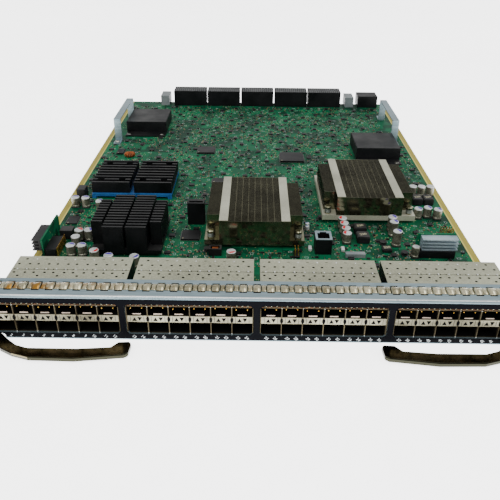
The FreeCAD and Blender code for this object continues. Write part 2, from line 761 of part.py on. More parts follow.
BACKPLANE_LENGTH = 24.0
BACKPLANE_REACH = 6.0       # how far the connectors stand out past the board
BACKPLANE_WIDTH = 46.0
BACKPLANE_HEIGHT = 21.0
BACKPLANE_PLACES = (-96, -48, 0, 48, 96)
GUIDE_PLACES = (-132.0, 132.0)
GUIDE_WIDTH = 12.0
GUIDE_HEIGHT = 14.0
GUIDE_BORE = 3.5
GUIDE_BORE_DEPTH = 16.0
POWER_X = 158.0


def make_backplane_connectors():
    rear = BOARD_REAR + BACKPLANE_REACH
    return group([box(x - BACKPLANE_WIDTH / 2, x + BACKPLANE_WIDTH / 2, rear - BACKPLANE_LENGTH,
                      rear, BOARD_TOP, BOARD_TOP + BACKPLANE_HEIGHT) for x in BACKPLANE_PLACES])


def make_guide_sockets():
    rear = BOARD_REAR + BACKPLANE_REACH
    sockets = []
    for x in GUIDE_PLACES:
        body = box(x - GUIDE_WIDTH / 2, x + GUIDE_WIDTH / 2, rear - BACKPLANE_LENGTH, rear,
                   BOARD_TOP, BOARD_TOP + GUIDE_HEIGHT)
        sockets.append(body.cut(rod_along_y(x, BOARD_TOP + GUIDE_HEIGHT / 2,
                                            rear - GUIDE_BORE_DEPTH, rear + 1, GUIDE_BORE)))
    return group(sockets)


def make_power_connector():
    rear = BOARD_REAR + BACKPLANE_REACH
    return box(POWER_X - 14, POWER_X + 14, rear - BACKPLANE_LENGTH, rear, BOARD_TOP, BOARD_TOP + 16)


# ---- levers ------------------------------------------------------------------------

def make_lever(side):
    """Flat ejector lever: finger pad, bar, elbow, eye and claw, drawn for the right side."""
    pad_x = PIVOT_HALF - 101.0
    elbow_x = PIVOT_HALF - 25.0
    points = [(pad_x + 1.5, -20.0), (pad_x + 34, -24.3), (pad_x + 64, -23.6), (elbow_x, -19.8),
              (elbow_x + 9, -14.6), (elbow_x + 17, -6.0), (PIVOT_HALF + 4.5, 2.5),
              (PIVOT_HALF + 10.5, 2.9), (PIVOT_HALF + 10.5, 8.0), (PIVOT_HALF + 6.0, 10.0),
              (PIVOT_HALF, PIVOT_DEPTH + LEVER_EYE), (PIVOT_HALF - 5.0, PIVOT_DEPTH + 4.0),
              (PIVOT_HALF - 7.5, PIVOT_DEPTH - 3.5), (elbow_x + 7.5, -4.5), (elbow_x, -10.6),
              (elbow_x - 9, -13.8), (pad_x + 34, -14.0), (pad_x + 12, -12.0),
              (pad_x + 7.5, -6.5), (pad_x, -6.0), (pad_x - 1.5, -8.5), (pad_x - 1.0, -18.0)]
    body = outline_xy(points, LEVER_LIFT, LEVER_TOP)
    eye = post(PIVOT_HALF, PIVOT_DEPTH, LEVER_LIFT, LEVER_TOP, LEVER_EYE)
    bore = post(PIVOT_HALF, PIVOT_DEPTH, 0, LEVER_TOP + 1, PIVOT_RADIUS + PIVOT_CLEARANCE)
    return mirrored(joined([body, eye]).cut(bore), side)


def make_pivot_bracket(side):
    """Folded bracket: lower ear, back wall, upper ear and the tab riveted to the plate."""
    t = BRACKET_SHEET
    low = LEVER_LIFT - LEVER_GAP
    high = LEVER_TOP + LEVER_GAP
    front = PLATE_BACK
    rear = front + BRACKET_DEPTH
    points = [(front, low - t), (rear, low - t), (rear, high + t), (front + t, high + t),
              (front + t, BRACKET_TALL), (front, BRACKET_TALL), (front, high), (rear - t, high),
              (rear - t, low), (front, low)]
    return mirrored(outline_yz(points, BRACKET_HALF, PIVOT_HALF + BRACKET_OUTER), side)


def make_pivot_pin(side):
    """Stands between the two ears, riveted to both."""
    low = LEVER_LIFT - LEVER_GAP
    high = LEVER_TOP + LEVER_GAP
    pin = post(PIVOT_HALF, PIVOT_DEPTH, low, high, PIVOT_RADIUS)
    return mirrored(pin, side)


# ---- captive screws ----------------------------------------------------------------

def prism_along_y(x, z, y0, y1, radius, sides):
    return outline_xz(ring_points(x, z, radius, sides), y0, y1)


def make_captive_ring(side):
    """Retaining washer behind the plate, which grips the shank and slides with it."""
    x = side * PIVOT_HALF
    rear = PLATE_BACK + RING_SHEET
    ring = prism_along_y(x, CAPTIVE_HEIGHT, PLATE_BACK, rear, RING_RADIUS, RING_SIDES)
    return ring.cut(rod_along_y(x, CAPTIVE_HEIGHT, PLATE_BACK, rear,
                                SHANK_RADIUS + PIVOT_CLEARANCE))


def make_captive_screw(side):
    """Ribbed thumb knob with its plain shank, drawn back from the chassis."""
    x = side * PIVOT_HALF
    skirt = PLATE_FACE - CAPTIVE_TRAVEL
    knob = prism_along_y(x, CAPTIVE_HEIGHT, skirt - KNOB_LENGTH, skirt, KNOB_RADIUS, KNOB_SIDES)
    ring_rear = PLATE_BACK + RING_SHEET
    shank = rod_along_y(x, CAPTIVE_HEIGHT, skirt, ring_rear, SHANK_RADIUS)
    thread = rod_along_y(x, CAPTIVE_HEIGHT, ring_rear, ring_rear + THREAD_LENGTH, THREAD_RADIUS)
    return joined([knob, shank, thread])


# ---- every node --------------------------------------------------------------------

def both(make):
    """The left and the right one of a pair, as one node."""
    return group([make(side) for _, side in BOTH_SIDES])


def all_nodes():
    low_sink_shift = (CARRIER_WIDTH - LOW_SINK_WIDTH) / 2
    nodes = {
        "front_plate": make_front_plate(),
        "front_overlay": make_front_overlay(),
        "flange_gasket": make_flange_gasket(),
        "cage_covers": group([make_cage_cover(centre) for centre in GROUP_CENTRES]),
        "cage_floors": group([make_cage_floor(centre) for centre in GROUP_CENTRES]),
        "cage_walls": make_cage_walls(),
        "port_bands": make_port_bands(),
        "port_connectors": make_port_connectors(),
        "opening_collars": make_opening_collars(),
        "main_board": make_main_board(),
        "carrier_tray": make_carrier_tray(),
        "board_standoffs": make_board_standoffs(),
        "sink_screws": make_sink_screws(),
        "black_sink": make_black_sink(),
        "blue_carrier": make_carrier(),
        "low_sinks": group([make_low_sink(CARRIER_X - low_sink_shift),
                            make_low_sink(CARRIER_X + low_sink_shift)]),
        "module_boards": group([make_left_module_board(), make_right_module_board()]),
        "left_module_sink": make_left_module_sink(),
        "right_module_sink": make_right_module_sink(),
        "module_blocks": group([make_left_module_block(), make_right_module_block()]),
        "module_pins": make_module_pins(),
        "module_choke": make_module_choke(),
        "short_capacitors": make_cans(SHORT_CANS, SHORT_CAN),
        "tall_capacitors": make_cans(TALL_CANS, TALL_CAN),
        "flat_packs": make_blocks(FLAT_PACKS),
        "inductors": make_blocks(INDUCTORS),
        "toroid_choke": make_toroid_choke(),
        "tall_transformer": make_tall_transformer(),
        "small_transformer": make_small_transformer(),
        "transformer_winding": make_transformer_winding(),
        "jack_housing": make_jack_housing(),
        "jack_rim": make_jack_rim(),
        "slot_box": make_slot_box(),
        "flat_connector": make_flat_connector(),
        "header_base": make_header_base(),
        "header_pins": make_header_pins(),
        "straps": group([make_strap(*place) for place in STRAPS.values()]),
        "power_bricks": group([make_brick(*place) for place in BRICKS.values()]),
        "backplane_connectors": make_backplane_connectors(),
        "guide_sockets": make_guide_sockets(),
        "power_connector": make_power_connector(),
        "pivot_brackets": both(make_pivot_bracket),
        "pivot_pins": both(make_pivot_pin),
    }
    chips = [make_chip(BLACK_X, BLACK_Y, CHIP_SIZE)]
    for name, x, front in NICKEL_SINKS:
        nodes[name + "_sink_base"] = make_sink_base(x, front)
        nodes[name + "_sink_fins"] = make_sink_fins(x, front)
        chips.append(make_chip(x, front + SINK_LENGTH / 2, CHIP_SIZE))
    nodes["sink_chips"] = group(chips)
    for name, side in BOTH_SIDES:
        nodes[name + "_lever"] = make_lever(side)
        nodes[name + "_captive_ring"] = make_captive_ring(side)
        nodes[name + "_captive_screw"] = make_captive_screw(side)
    return nodes


os.makedirs("parts", exist_ok=True)
for node_name, node_shape in all_nodes().items():
    node_shape.exportStep("parts/%s.step" % node_name)
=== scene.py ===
import json
import math
import random

import bmesh
import bpy
from mathutils import Matrix, Vector


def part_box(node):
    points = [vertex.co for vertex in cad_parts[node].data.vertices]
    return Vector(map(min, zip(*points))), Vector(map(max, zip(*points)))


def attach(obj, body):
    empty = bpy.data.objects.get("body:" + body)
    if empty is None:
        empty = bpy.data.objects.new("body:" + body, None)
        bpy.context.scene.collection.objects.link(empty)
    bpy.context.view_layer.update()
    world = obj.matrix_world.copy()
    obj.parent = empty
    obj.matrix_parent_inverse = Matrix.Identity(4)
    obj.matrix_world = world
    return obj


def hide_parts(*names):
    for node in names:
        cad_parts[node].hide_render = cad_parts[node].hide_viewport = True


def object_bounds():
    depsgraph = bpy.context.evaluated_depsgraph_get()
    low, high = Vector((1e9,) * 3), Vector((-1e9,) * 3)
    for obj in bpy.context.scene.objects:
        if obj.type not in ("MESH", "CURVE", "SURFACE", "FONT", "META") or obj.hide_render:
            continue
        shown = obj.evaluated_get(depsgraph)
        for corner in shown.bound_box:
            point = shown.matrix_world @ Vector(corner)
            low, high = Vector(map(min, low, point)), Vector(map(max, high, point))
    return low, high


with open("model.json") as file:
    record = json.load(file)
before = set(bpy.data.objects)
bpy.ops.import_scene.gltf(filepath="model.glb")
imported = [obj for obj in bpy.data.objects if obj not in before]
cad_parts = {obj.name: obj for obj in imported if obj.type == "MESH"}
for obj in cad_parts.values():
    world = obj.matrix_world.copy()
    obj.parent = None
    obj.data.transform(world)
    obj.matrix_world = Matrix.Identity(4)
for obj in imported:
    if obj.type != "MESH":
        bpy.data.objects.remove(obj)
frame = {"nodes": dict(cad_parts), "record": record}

CAD_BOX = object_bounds()
MM = 0.001
NODES = frame["nodes"]
SLOT_OF = {part["node"]: part["material_slot"] for part in frame["record"]["subparts"]}

# ---- sizes that the dressing needs, in metres --------------------------------------

PORT_PITCH = 14.25 * MM
PORTS_ACROSS = 6
GROUPS = 4
GROUP_GAP = 5.17 * MM
GROUP_PITCH = PORTS_ACROSS * PORT_PITCH + GROUP_GAP
FINGER_PITCH = 9.34 * MM        # gasket fingers on the flange
COLLAR_FINGERS = 4              # spring fingers above each port
GUIDE_STRIP = 6.3 * MM          # bare metal along each long edge of the board
GUIDE_LINE = 1.2 * MM           # its paler inner line
FILM = 0.05                     # how far prints and dark holes stand off, in millimetres
PRINT = FILM * MM

PLATE_LOW, PLATE_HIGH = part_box("front_plate")
OVERLAY_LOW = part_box("front_overlay")[0]
GASKET_LOW, GASKET_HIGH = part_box("flange_gasket")
COVER_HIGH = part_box("cage_covers")[1]
BAND_LOW, BAND_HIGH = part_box("port_bands")
WALL_LOW, WALL_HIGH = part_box("cage_walls")
COLLAR_LOW, COLLAR_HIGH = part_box("opening_collars")
BOARD_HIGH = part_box("main_board")[1]
BOARD_TOP = BOARD_HIGH.z

GROUP_CENTRES = [(i - (GROUPS - 1) / 2) * GROUP_PITCH for i in range(GROUPS)]
COLUMNS = [centre + (i - (PORTS_ACROSS - 1) / 2) * PORT_PITCH
           for centre in GROUP_CENTRES for i in range(PORTS_ACROSS)]
INNER_WALLS = [centre + (i - PORTS_ACROSS / 2) * PORT_PITCH
               for centre in GROUP_CENTRES for i in range(1, PORTS_ACROSS)]
OUTER_WALLS = [centre + side * PORTS_ACROSS / 2 * PORT_PITCH
               for centre in GROUP_CENTRES for side in (-1, 1)]


# ---- short calls for node trees ----------------------------------------------------

class Tree:
    """Short calls for building a shader or geometry tree."""

    def __init__(self, tree):
        self.tree = tree

    def feed(self, sockets, feeds):
        """Links or sets each named socket."""
        for label, value in feeds.items():
            if isinstance(value, bpy.types.NodeSocket):
                self.tree.links.new(value, sockets[label])
            else:
                sockets[label].default_value = value

    def make(self, kind, feeds=None, **values):
        """A new node with its values and inputs set, given back as its outputs."""
        node = self.tree.nodes.new(kind)
        for key, value in values.items():
            setattr(node, key, value)
        self.feed(node.inputs, feeds or {})
        return node.outputs

    def math(self, operation, first, second=0.0):
        return self.make("ShaderNodeMath", {0: first, 1: second}, operation=operation)[0]

    def times(self, first, second):
        return self.math("MULTIPLY", first, second)

    def blend(self, factor, first, second):
        return self.make("ShaderNodeMix", {0: factor, 6: first, 7: second}, data_type="RGBA")[2]

    def span(self, value, low, high, to_low=0.0, to_high=1.0):
        return self.make("ShaderNodeMapRange", {
            "Value": value, "From Min": low, "From Max": high, "To Min": to_low,
            "To Max": to_high})["Result"]

    def axis(self, vector, name):
        return self.make("ShaderNodeSeparateXYZ", {0: vector})[name]

    def vector(self, x=0.0, y=0.0, z=0.0):
        return self.make("ShaderNodeCombineXYZ", {"X": x, "Y": y, "Z": z})[0]

    def upwardness(self):
        """How far a face looks up, from -1 to 1."""
        return self.axis(self.make("ShaderNodeNewGeometry")["Normal"], "Z")

    def noise(self, vector, scale, detail):
        return self.make("ShaderNodeTexNoise", {
            "Vector": vector, "Scale": scale, "Detail": detail})["Fac"]

    def bump(self, height, strength, distance):
        return self.make("ShaderNodeBump", {
            "Strength": strength, "Distance": distance, "Height": height})["Normal"]


def new_group(name, kind, inputs, outputs):
    """A node group with (label, kind, value) inputs and (label, kind) outputs."""
    group = bpy.data.node_groups.new(name, kind)
    for label, socket_kind, value in inputs:
        socket = group.interface.new_socket(label, in_out="INPUT",
                                            socket_type="NodeSocket" + socket_kind)
        if value is not None:
            socket.default_value = value
    for label, socket_kind in outputs:
        group.interface.new_socket(label, in_out="OUTPUT",
                                   socket_type="NodeSocket" + socket_kind)
    tree = Tree(group)
    given = tree.make("NodeGroupInput")
    out = group.nodes.new("NodeGroupOutput").inputs
    return group, tree, given, out


# ---- shader groups -----------------------------------------------------------------

def tone(red, green, blue):
    """A colour given as 0 to 255 display values, made linear."""
    def linear(value):
        value /= 255
        return value / 12.92 if value <= 0.04045 else ((value + 0.055) / 1.055) ** 2.4
    return (linear(red), linear(green), linear(blue), 1.0)


def build_surface_group():
    """Blotches and fine grain that shift the colour, the roughness and the surface."""
    group, tree, given, out = new_group(
        "surface_variation", "ShaderNodeTree",
        [("Vector", "Vector", None), ("Dark", "Color", (0.1, 0.1, 0.1, 1)),
         ("Light", "Color", (0.5, 0.5, 0.5, 1)), ("Blotch Scale", "Float", 30.0),
         ("Grain Scale", "Float", 900.0), ("Smooth", "Float", 0.3), ("Rough", "Float", 0.5),
         ("Bump", "Float", 0.1)],
        [("Color", "Color"), ("Roughness", "Float"), ("Normal", "Vector")])
    blotch = tree.noise(given["Vector"], given["Blotch Scale"], 3.0)
    grain = tree.noise(given["Vector"], given["Grain Scale"], 2.0)
    mixed = tree.math("ADD", tree.times(blotch, 0.65), tree.times(grain, 0.35))
    tree.feed(out, {
        "Color": tree.blend(tree.span(mixed, 0.36, 0.64), given["Dark"], given["Light"]),
        "Roughness": tree.span(blotch, 0.3, 0.7, given["Smooth"], given["Rough"]),
        "Normal": tree.bump(grain, given["Bump"], 0.2 * MM)})
    return group


def build_dust_group():
    """Pale dust that lies in patches where a surface faces up."""
    group, tree, given, out = new_group(
        "settled_dust", "ShaderNodeTree",
        [("Vector", "Vector", None), ("Color", "Color", (0.2, 0.2, 0.2, 1)),
         ("Dust", "Color", (0.32, 0.31, 0.28, 1)), ("Amount", "Float", 0.2)],
        [("Color", "Color")])
    upward = tree.span(tree.upwardness(), 0.3, 0.9)
    patchy = tree.span(tree.noise(given["Vector"], 55.0, 6.0), 0.4, 0.75)
    cover = tree.times(tree.times(upward, patchy), given["Amount"])
    tree.feed(out, {"Color": tree.blend(cover, given["Color"], given["Dust"])})
    return group


def build_depth_shade_group():
    """Turns a sheet dark where it runs back into a cage, out of the light."""
    group, tree, given, out = new_group(
        "cage_depth_shade", "ShaderNodeTree",
        [("Vector", "Vector", None), ("Color", "Color", (0.2, 0.2, 0.2, 1)),
         ("Painted Shade", "Color", (0.004, 0.004, 0.004, 1)), ("Front", "Float", 0.002),
         ("Depth", "Float", 0.002)],
        [("Color", "Color"), ("Unshaded", "Float")])
    back = tree.math("SUBTRACT", tree.axis(given["Vector"], "Y"), given["Front"])
    shade = tree.span(tree.math("DIVIDE", back, given["Depth"]), 0.0, 1.0)
    tree.feed(out, {"Color": tree.blend(shade, given["Color"], given["Painted Shade"]),
                    "Unshaded": tree.math("SUBTRACT", 1.0, shade)})
    return group


SURFACE = build_surface_group()
DUST = build_dust_group()
DEPTH_SHADE = build_depth_shade_group()


# ---- finishes ----------------------------------------------------------------------

def new_material(name):
    material = bpy.data.materials.new(name)
    material.use_nodes = True
    tree = Tree(material.node_tree)
    skin = material.node_tree.nodes["Principled BSDF"].inputs
    place = tree.make("ShaderNodeTexCoord")["Object"]
    return material, tree, skin, place


def surface_node(tree, vector, dark, light, smooth, rough, blotch, grain=900.0, bump=0.1):
    return tree.make("ShaderNodeGroup", {
        "Vector": vector, "Dark": dark, "Light": light, "Blotch Scale": blotch,
        "Grain Scale": grain, "Smooth": smooth, "Rough": rough, "Bump": bump},
        node_tree=SURFACE)


def dusted(tree, place, colour, amount):
    return tree.make("ShaderNodeGroup", {"Vector": place, "Color": colour, "Amount": amount},
                     node_tree=DUST)["Color"]


def paint(tree, skin, surface, colour, metal, shine=0.5):
    """Feeds a material from a surface node."""
    tree.feed(skin, {"Base Color": colour, "Roughness": surface["Roughness"],
                     "Normal": surface["Normal"], "Metallic": metal,
                     "Specular IOR Level": shine})


def finish(name, dark, light, metal=0.0, smooth=0.35, rough=0.5, blotch=30.0, grain=900.0,
           bump=0.1, dust=0.0, stretch=None, shine=0.5):
    """A finish from the shared groups: a varied colour, a varied sheen and a light dust."""
    material, tree, skin, place = new_material(name)
    vector = place
    if stretch:
        vector = tree.make("ShaderNodeMapping", {"Scale": stretch, "Vector": place})["Vector"]
    surface = surface_node(tree, vector, dark, light, smooth, rough, blotch, grain, bump)
    colour = surface["Color"]
    if dust > 0:
        colour = dusted(tree, place, colour, dust)
    paint(tree, skin, surface, colour, metal, shine)
    return material


def cage_shade_finish(name, front, depth, dark, light):
    """Nickel at the mouth of the ports, with painted shade that turns it black further in."""
    material, tree, skin, place = new_material(name)
    surface = surface_node(tree, place, dark, light, 0.3, 0.45, 40.0, bump=0.05)
    inside = tree.make("ShaderNodeGroup", {
        "Vector": place, "Color": surface["Color"], "Front": front, "Depth": depth},
        node_tree=DEPTH_SHADE)
    tree.feed(skin, {"Base Color": inside["Color"], "Roughness": surface["Roughness"],
                     "Metallic": tree.times(inside["Unshaded"], 0.6), "Specular IOR Level": 0.1})
    return material


def cover_finish():
    """Warm grey nickel above, with painted shade that turns the faces turned into the ports near
    black.
    """
    material, tree, skin, place = new_material("cage_nickel")
    surface = surface_node(tree, place, tone(128, 129, 108), tone(186, 187, 162), 0.2, 0.34,
                           9.0, bump=0.04)
    settled = dusted(tree, place, surface["Color"], 0.15)
    # Painted shade: faces turned down into the ports go near black and lose their metal.
    unshaded_faces = tree.span(tree.upwardness(), -0.6, -0.4)
    down_shade = (0.006, 0.006, 0.005, 1)
    paint(tree, skin, surface, tree.blend(unshaded_faces, down_shade, settled), tree.times(unshaded_faces, 0.75))
    return material


def board_finish(name, bare_edges):
    """Green mask over copper: pours, fine tracks and vias, and bare strips at both edges."""
    material, tree, skin, place = new_material(name)
    pour = tree.make("ShaderNodeTexVoronoi", {"Vector": place, "Scale": 62.0},
                     feature="F1", distance="CHEBYCHEV")
    patch = tree.make("ShaderNodeSeparateColor", {0: pour["Color"]})["Red"]
    tracks = tree.make("ShaderNodeTexBrick", {
        "Vector": place, "Scale": 190.0, "Mortar Size": 0.04, "Brick Width": 2.7,
        "Row Height": 0.2, "Color1": (0, 0, 0, 1), "Color2": (0.2, 0.2, 0.2, 1),
        "Mortar": (1, 1, 1, 1)})["Color"]
    clouds = tree.noise(place, 40.0, 4.0)
    base = tree.blend(tree.span(patch, 0.25, 0.8), tone(0, 44, 28), tone(0, 82, 52))
    drawn = tree.times(tracks, tree.span(clouds, 0.44, 0.56, 0.0, 0.6))
    spots = tree.make("ShaderNodeTexVoronoi", {"Vector": place, "Scale": 330.0}, feature="F1")
    via = tree.times(tree.math("LESS_THAN", spots["Distance"], 0.2),
                     tree.math("GREATER_THAN", clouds, 0.53))
    green = tree.blend(drawn, base, tone(20, 112, 74))
    green = tree.blend(via, green, tone(150, 166, 120))
    metal = tree.times(via, 0.5)
    if bare_edges:
        off_middle = tree.math("ABSOLUTE", tree.axis(place, "X"))
        strip = BOARD_HIGH.x - GUIDE_STRIP
        bare = tree.math("GREATER_THAN", off_middle, strip)
        line = tree.math("LESS_THAN", off_middle, strip + GUIDE_LINE)
        gold = tree.blend(line, tone(158, 146, 68), tone(196, 184, 104))
        green = tree.blend(bare, green, gold)
        metal = tree.math("MAXIMUM", metal, tree.times(bare, 0.4))
    tree.feed(skin, {"Base Color": green, "Roughness": tree.span(clouds, 0.3, 0.7, 0.42, 0.6),
                     "Metallic": metal, "Normal": tree.bump(drawn, 0.25, 0.1 * MM),
                     "Specular IOR Level": 0.1})
    return material


def polished_finish():
    """Polished steel that mirrors, with painted reflection and shade: brown on top, greyer sides,
    and a pale painted highlight along the edges between.
    """
    material, tree, skin, place = new_material("polished_steel")
    surface = surface_node(tree, place, tone(74, 66, 48), tone(110, 100, 78), 0.1, 0.24, 26.0,
                           500.0, 0.04)
    rise = tree.upwardness()
    # Painted shade and reflection: the sides darker and greyer than the top.
    sides = tree.blend(tree.span(rise, 0.55, 0.95), tone(54, 54, 44), surface["Color"])
    # Painted highlight on the bevels between top and sides: pale, and less metallic.
    edge_highlight = tree.times(tree.math("GREATER_THAN", rise, 0.2),
                           tree.math("LESS_THAN", rise, 0.97))
    paint(tree, skin, surface, tree.blend(edge_highlight, sides, tone(178, 166, 132)),
          tree.span(edge_highlight, 0.0, 1.0, 1.0, 0.3))
    return material


def gasket_finish():
    """Bright plated spring strip, mottled light and dark, with patches of gold and brown mostly
    at its left end; the mottle and the patches are painted highlights and reflections.
    """
    material, tree, skin, place = new_material("zinc_spring")
    surface = surface_node(tree, place, tone(120, 112, 84), tone(206, 200, 170), 0.16, 0.34,
                           30.0, 700.0, 0.05)
    near_left = tree.span(tree.axis(place, "X"), -155 * MM, -80 * MM, 1.0, 0.0)
    patches = tree.span(tree.noise(place, 120.0, 3.0), 0.42, 0.6)
    # Painted reflections: patches of gold and brown, mostly towards the left end.
    reflection_patches = tree.times(tree.math("ADD", near_left, 0.06), patches)
    paint(tree, skin, surface, tree.blend(reflection_patches, surface["Color"], tone(150, 108, 40)), 0.92)
    return material


def plain(name, colour, rough=0.6, metal=0.0, shine=0.3):
    """A print, a dark hole or a small mark, with only a faint mottle."""
    lighter = tuple(min(1.0, channel * 1.18 + 0.002) for channel in colour[:3]) + (1.0,)
    return finish(name, colour, lighter, metal=metal, smooth=rough * 0.85, rough=rough,
                  blotch=80.0, grain=2500.0, bump=0.02, shine=shine)


FINISH = {
    "zinc_sheet": finish("zinc_sheet", tone(104, 124, 132), tone(146, 164, 170), metal=0.7,
                         smooth=0.28, rough=0.42, blotch=14, grain=520, bump=0.04, dust=0.12,
                         stretch=(0.15, 1, 1)),
    "zinc_spring": gasket_finish(),
    "black_film": finish("black_film", tone(3, 4, 8), tone(6, 7, 12), smooth=0.45,
                         rough=0.6, blotch=18, grain=1500, bump=0.04, shine=0.03),
    "cage_nickel": cover_finish(),
    "copper_spring": finish("copper_spring", tone(104, 66, 44), tone(172, 128, 98), metal=0.85,
                            smooth=0.3, rough=0.5, blotch=160, grain=900),
    "black_plastic": finish("black_plastic", tone(6, 7, 8), tone(15, 16, 18), smooth=0.35,
                            rough=0.55, blotch=45, grain=1600, bump=0.12, dust=0.03, shine=0.2),
    "grey_plastic": finish("grey_plastic", tone(92, 100, 102), tone(118, 124, 124), smooth=0.4,
                           rough=0.55, blotch=60, grain=1400),
    "green_board": board_finish("green_board", True),
    "blue_board": finish("blue_board", tone(16, 62, 112), tone(36, 92, 150), smooth=0.3,
                         rough=0.42, blotch=60, grain=900, shine=0.3),
    "brass_post": finish("brass_post", tone(130, 98, 46), tone(176, 142, 78), metal=0.9),
    "steel_screw": finish("steel_screw", tone(104, 104, 98), tone(160, 160, 152), metal=0.9,
                          smooth=0.22, rough=0.4, blotch=120),
    "polished_steel": polished_finish(),
    "black_anodised": finish("black_anodised", tone(5, 6, 7), tone(15, 16, 18), metal=0.1,
                             smooth=0.36, rough=0.52, blotch=50, grain=900, dust=0.05,
                             shine=0.25),
    "silver_anodised": finish("silver_anodised", tone(122, 140, 148), tone(166, 182, 190),
                              metal=0.6, smooth=0.3, rough=0.45, blotch=40),
    "nickel_plate": finish("nickel_plate", tone(98, 96, 76), tone(136, 134, 110), metal=0.95,
                           smooth=0.06, rough=0.2, blotch=24, grain=300, bump=0.03),
    "can_aluminium": finish("can_aluminium", tone(164, 168, 168), tone(200, 203, 201),
                            metal=0.35, smooth=0.26, rough=0.4, blotch=200),
    "dark_ferrite": finish("dark_ferrite", tone(8, 8, 9), tone(22, 22, 24), smooth=0.45,
                           rough=0.6, blotch=120, grain=1800, bump=0.2, dust=0.08, shine=0.3),
    "copper_wire": finish("copper_wire", tone(112, 54, 22), tone(172, 94, 46), metal=0.7,
                          smooth=0.25, rough=0.4, blotch=150),
    "gold_pin": finish("gold_pin", tone(160, 116, 44), tone(206, 166, 84), metal=0.9,
                       smooth=0.2, rough=0.35, blotch=200),
}
# Painted shade: the nickel of the cage walls, floors, lips and hooks, and the face of the bands,
# goes near black further back.
CAGE_MOUTH_SHADE = cage_shade_finish("cage_mouth_shade", WALL_LOW.y + 0.5 * MM, 1.6 * MM,
                                tone(52, 45, 34), tone(88, 80, 60))
BAND_FACE_SHADE = cage_shade_finish("band_face_shade", BAND_LOW.y + 0.2 * MM, 0.6 * MM,
                               tone(112, 108, 90), tone(164, 160, 138))
# Near black with almost no sheen: painted shade on the connectors far inside the ports and in the
# rear dashes; the seam lines are drawn in it too.
PORT_SHADE = plain("port_shade", tone(5, 5, 5), rough=0.8, shine=0.05)
MODULE_BOARD = board_finish("module_board", False)
WHITE_PRINT = plain("white_print", tone(186, 192, 194))
# Near black: painted shade in holes, windows, slits, reliefs and contact holes; the arrows are
# drawn in it too.
SHADE_AND_MARK_BLACK = plain("shade_and_mark_black", tone(3, 3, 4), rough=0.9, shine=0.05)
# Painted highlight: the bright bend along the top of the plate, the rivet heads and the feet of
# the walls.
HIGHLIGHT_PAINT = plain("painted_highlight", tone(206, 208, 206), rough=0.3, metal=0.5)
LATCH_LIP = plain("latch_lip", tone(168, 152, 138), rough=0.35, metal=0.6)
SOLDER = plain("solder", tone(112, 118, 112), rough=0.4, metal=0.8)
# A lit copy of the nickel, made lighter as painted highlight, for the right sink's base and the
# bars of folded tabs.
LIT_SINK_NICKEL = finish("sink_base", tone(146, 146, 126), tone(186, 186, 168), metal=0.4,
                   smooth=0.3, rough=0.45, blotch=26)
CHIP_BLACK = plain("chip_black", tone(14, 14, 16), rough=0.5)
CHIP_TAN = plain("chip_tan", tone(118, 92, 62), rough=0.5)
CAN_SLEEVE = finish("can_sleeve", tone(84, 82, 70), tone(134, 132, 118), metal=0.6,
                    smooth=0.22, rough=0.4, blotch=140)
RED_MARK = plain("red_mark", tone(176, 6, 20), rough=0.4)
VIOLET_MARK = plain("violet_mark", tone(66, 46, 140), rough=0.4)
CREAM_BLOCK = plain("cream_block", tone(176, 170, 140), rough=0.5)


# ---- dressing the CAD nodes --------------------------------------------------------

# Finishes in place of the slot's own: painted shade in the cage walls, floors, bands and port
# connectors, and a lit copy of the nickel, a painted highlight, on the right sink's base.
DRESSED_APART = {
    "cage_walls": CAGE_MOUTH_SHADE, "cage_floors": CAGE_MOUTH_SHADE, "port_bands": BAND_FACE_SHADE,
    "port_connectors": PORT_SHADE, "module_boards": MODULE_BOARD,
    "right_sink_base": LIT_SINK_NICKEL,
}


def dress(node, material):
    body = NODES[node]
    if not body.material_slots:
        body.data.materials.append(material)
    for piece_slot in body.material_slots:
        piece_slot.link = "OBJECT"
        piece_slot.material = material


for node_name, slot_name in SLOT_OF.items():
    dress(node_name, DRESSED_APART.get(node_name, FINISH[slot_name]))


# ---- geometry trees ----------------------------------------------------------------

def growing_tree(name, inputs):
    """A geometry tree with named inputs and a Material, ready for its own nodes."""
    named = [("Geometry", "Geometry", None)] + inputs + [("Material", "Material", None)]
    group, tree, given, out = new_group(name, "GeometryNodeTree", named,
                                        [("Geometry", "Geometry")])
    group.is_modifier = True
    return group, tree, given, out


def close_tree(tree, given, out, points, shape, rotation=None, scale=None):
    """Sets the shape on every point, as plain geometry with its finish on it."""
    feeds = {"Points": points, "Instance": shape}
    if rotation is not None:
        feeds["Rotation"] = rotation
    if scale is not None:
        feeds["Scale"] = scale
    placed = tree.make("GeometryNodeInstanceOnPoints", feeds)[0]
    real = tree.make("GeometryNodeRealizeInstances", {0: placed})[0]
    painted = tree.make("GeometryNodeSetMaterial", {"Geometry": real,
                                                    "Material": given["Material"]})[0]
    tree.feed(out, {"Geometry": painted})


def swept_along(tree, path, outline):
    return tree.make("GeometryNodeCurveToMesh", {
        "Curve": path, "Profile Curve": outline, "Fill Caps": True})[0]


def circle(tree, sides, radius):
    return tree.make("GeometryNodeCurvePrimitiveCircle", {"Resolution": sides,
                                                          "Radius": radius})[0]


def build_copies_tree():
    """One shape on every point, with the turn kept on the point."""
    group, tree, given, out = growing_tree(
        "copies_on_points",
        [("Shape", "Object", None), ("Jitter", "Float", 0.0), ("Seed", "Int", 1)])
    shape = tree.make("GeometryNodeObjectInfo", {"Object": given["Shape"]})["Geometry"]
    turn = tree.make("GeometryNodeInputNamedAttribute", {"Name": "turn"},
                     data_type="FLOAT_VECTOR")[0]
    swing = tree.make("FunctionNodeRandomValue", {
        2: tree.times(given["Jitter"], -1.0), 3: given["Jitter"], "Seed": given["Seed"]},
        data_type="FLOAT")[1]
    total = tree.make("ShaderNodeVectorMath", {0: turn, 1: tree.vector(z=swing)},
                      operation="ADD")[0]
    close_tree(tree, given, out, given["Geometry"], shape, total)
    return group


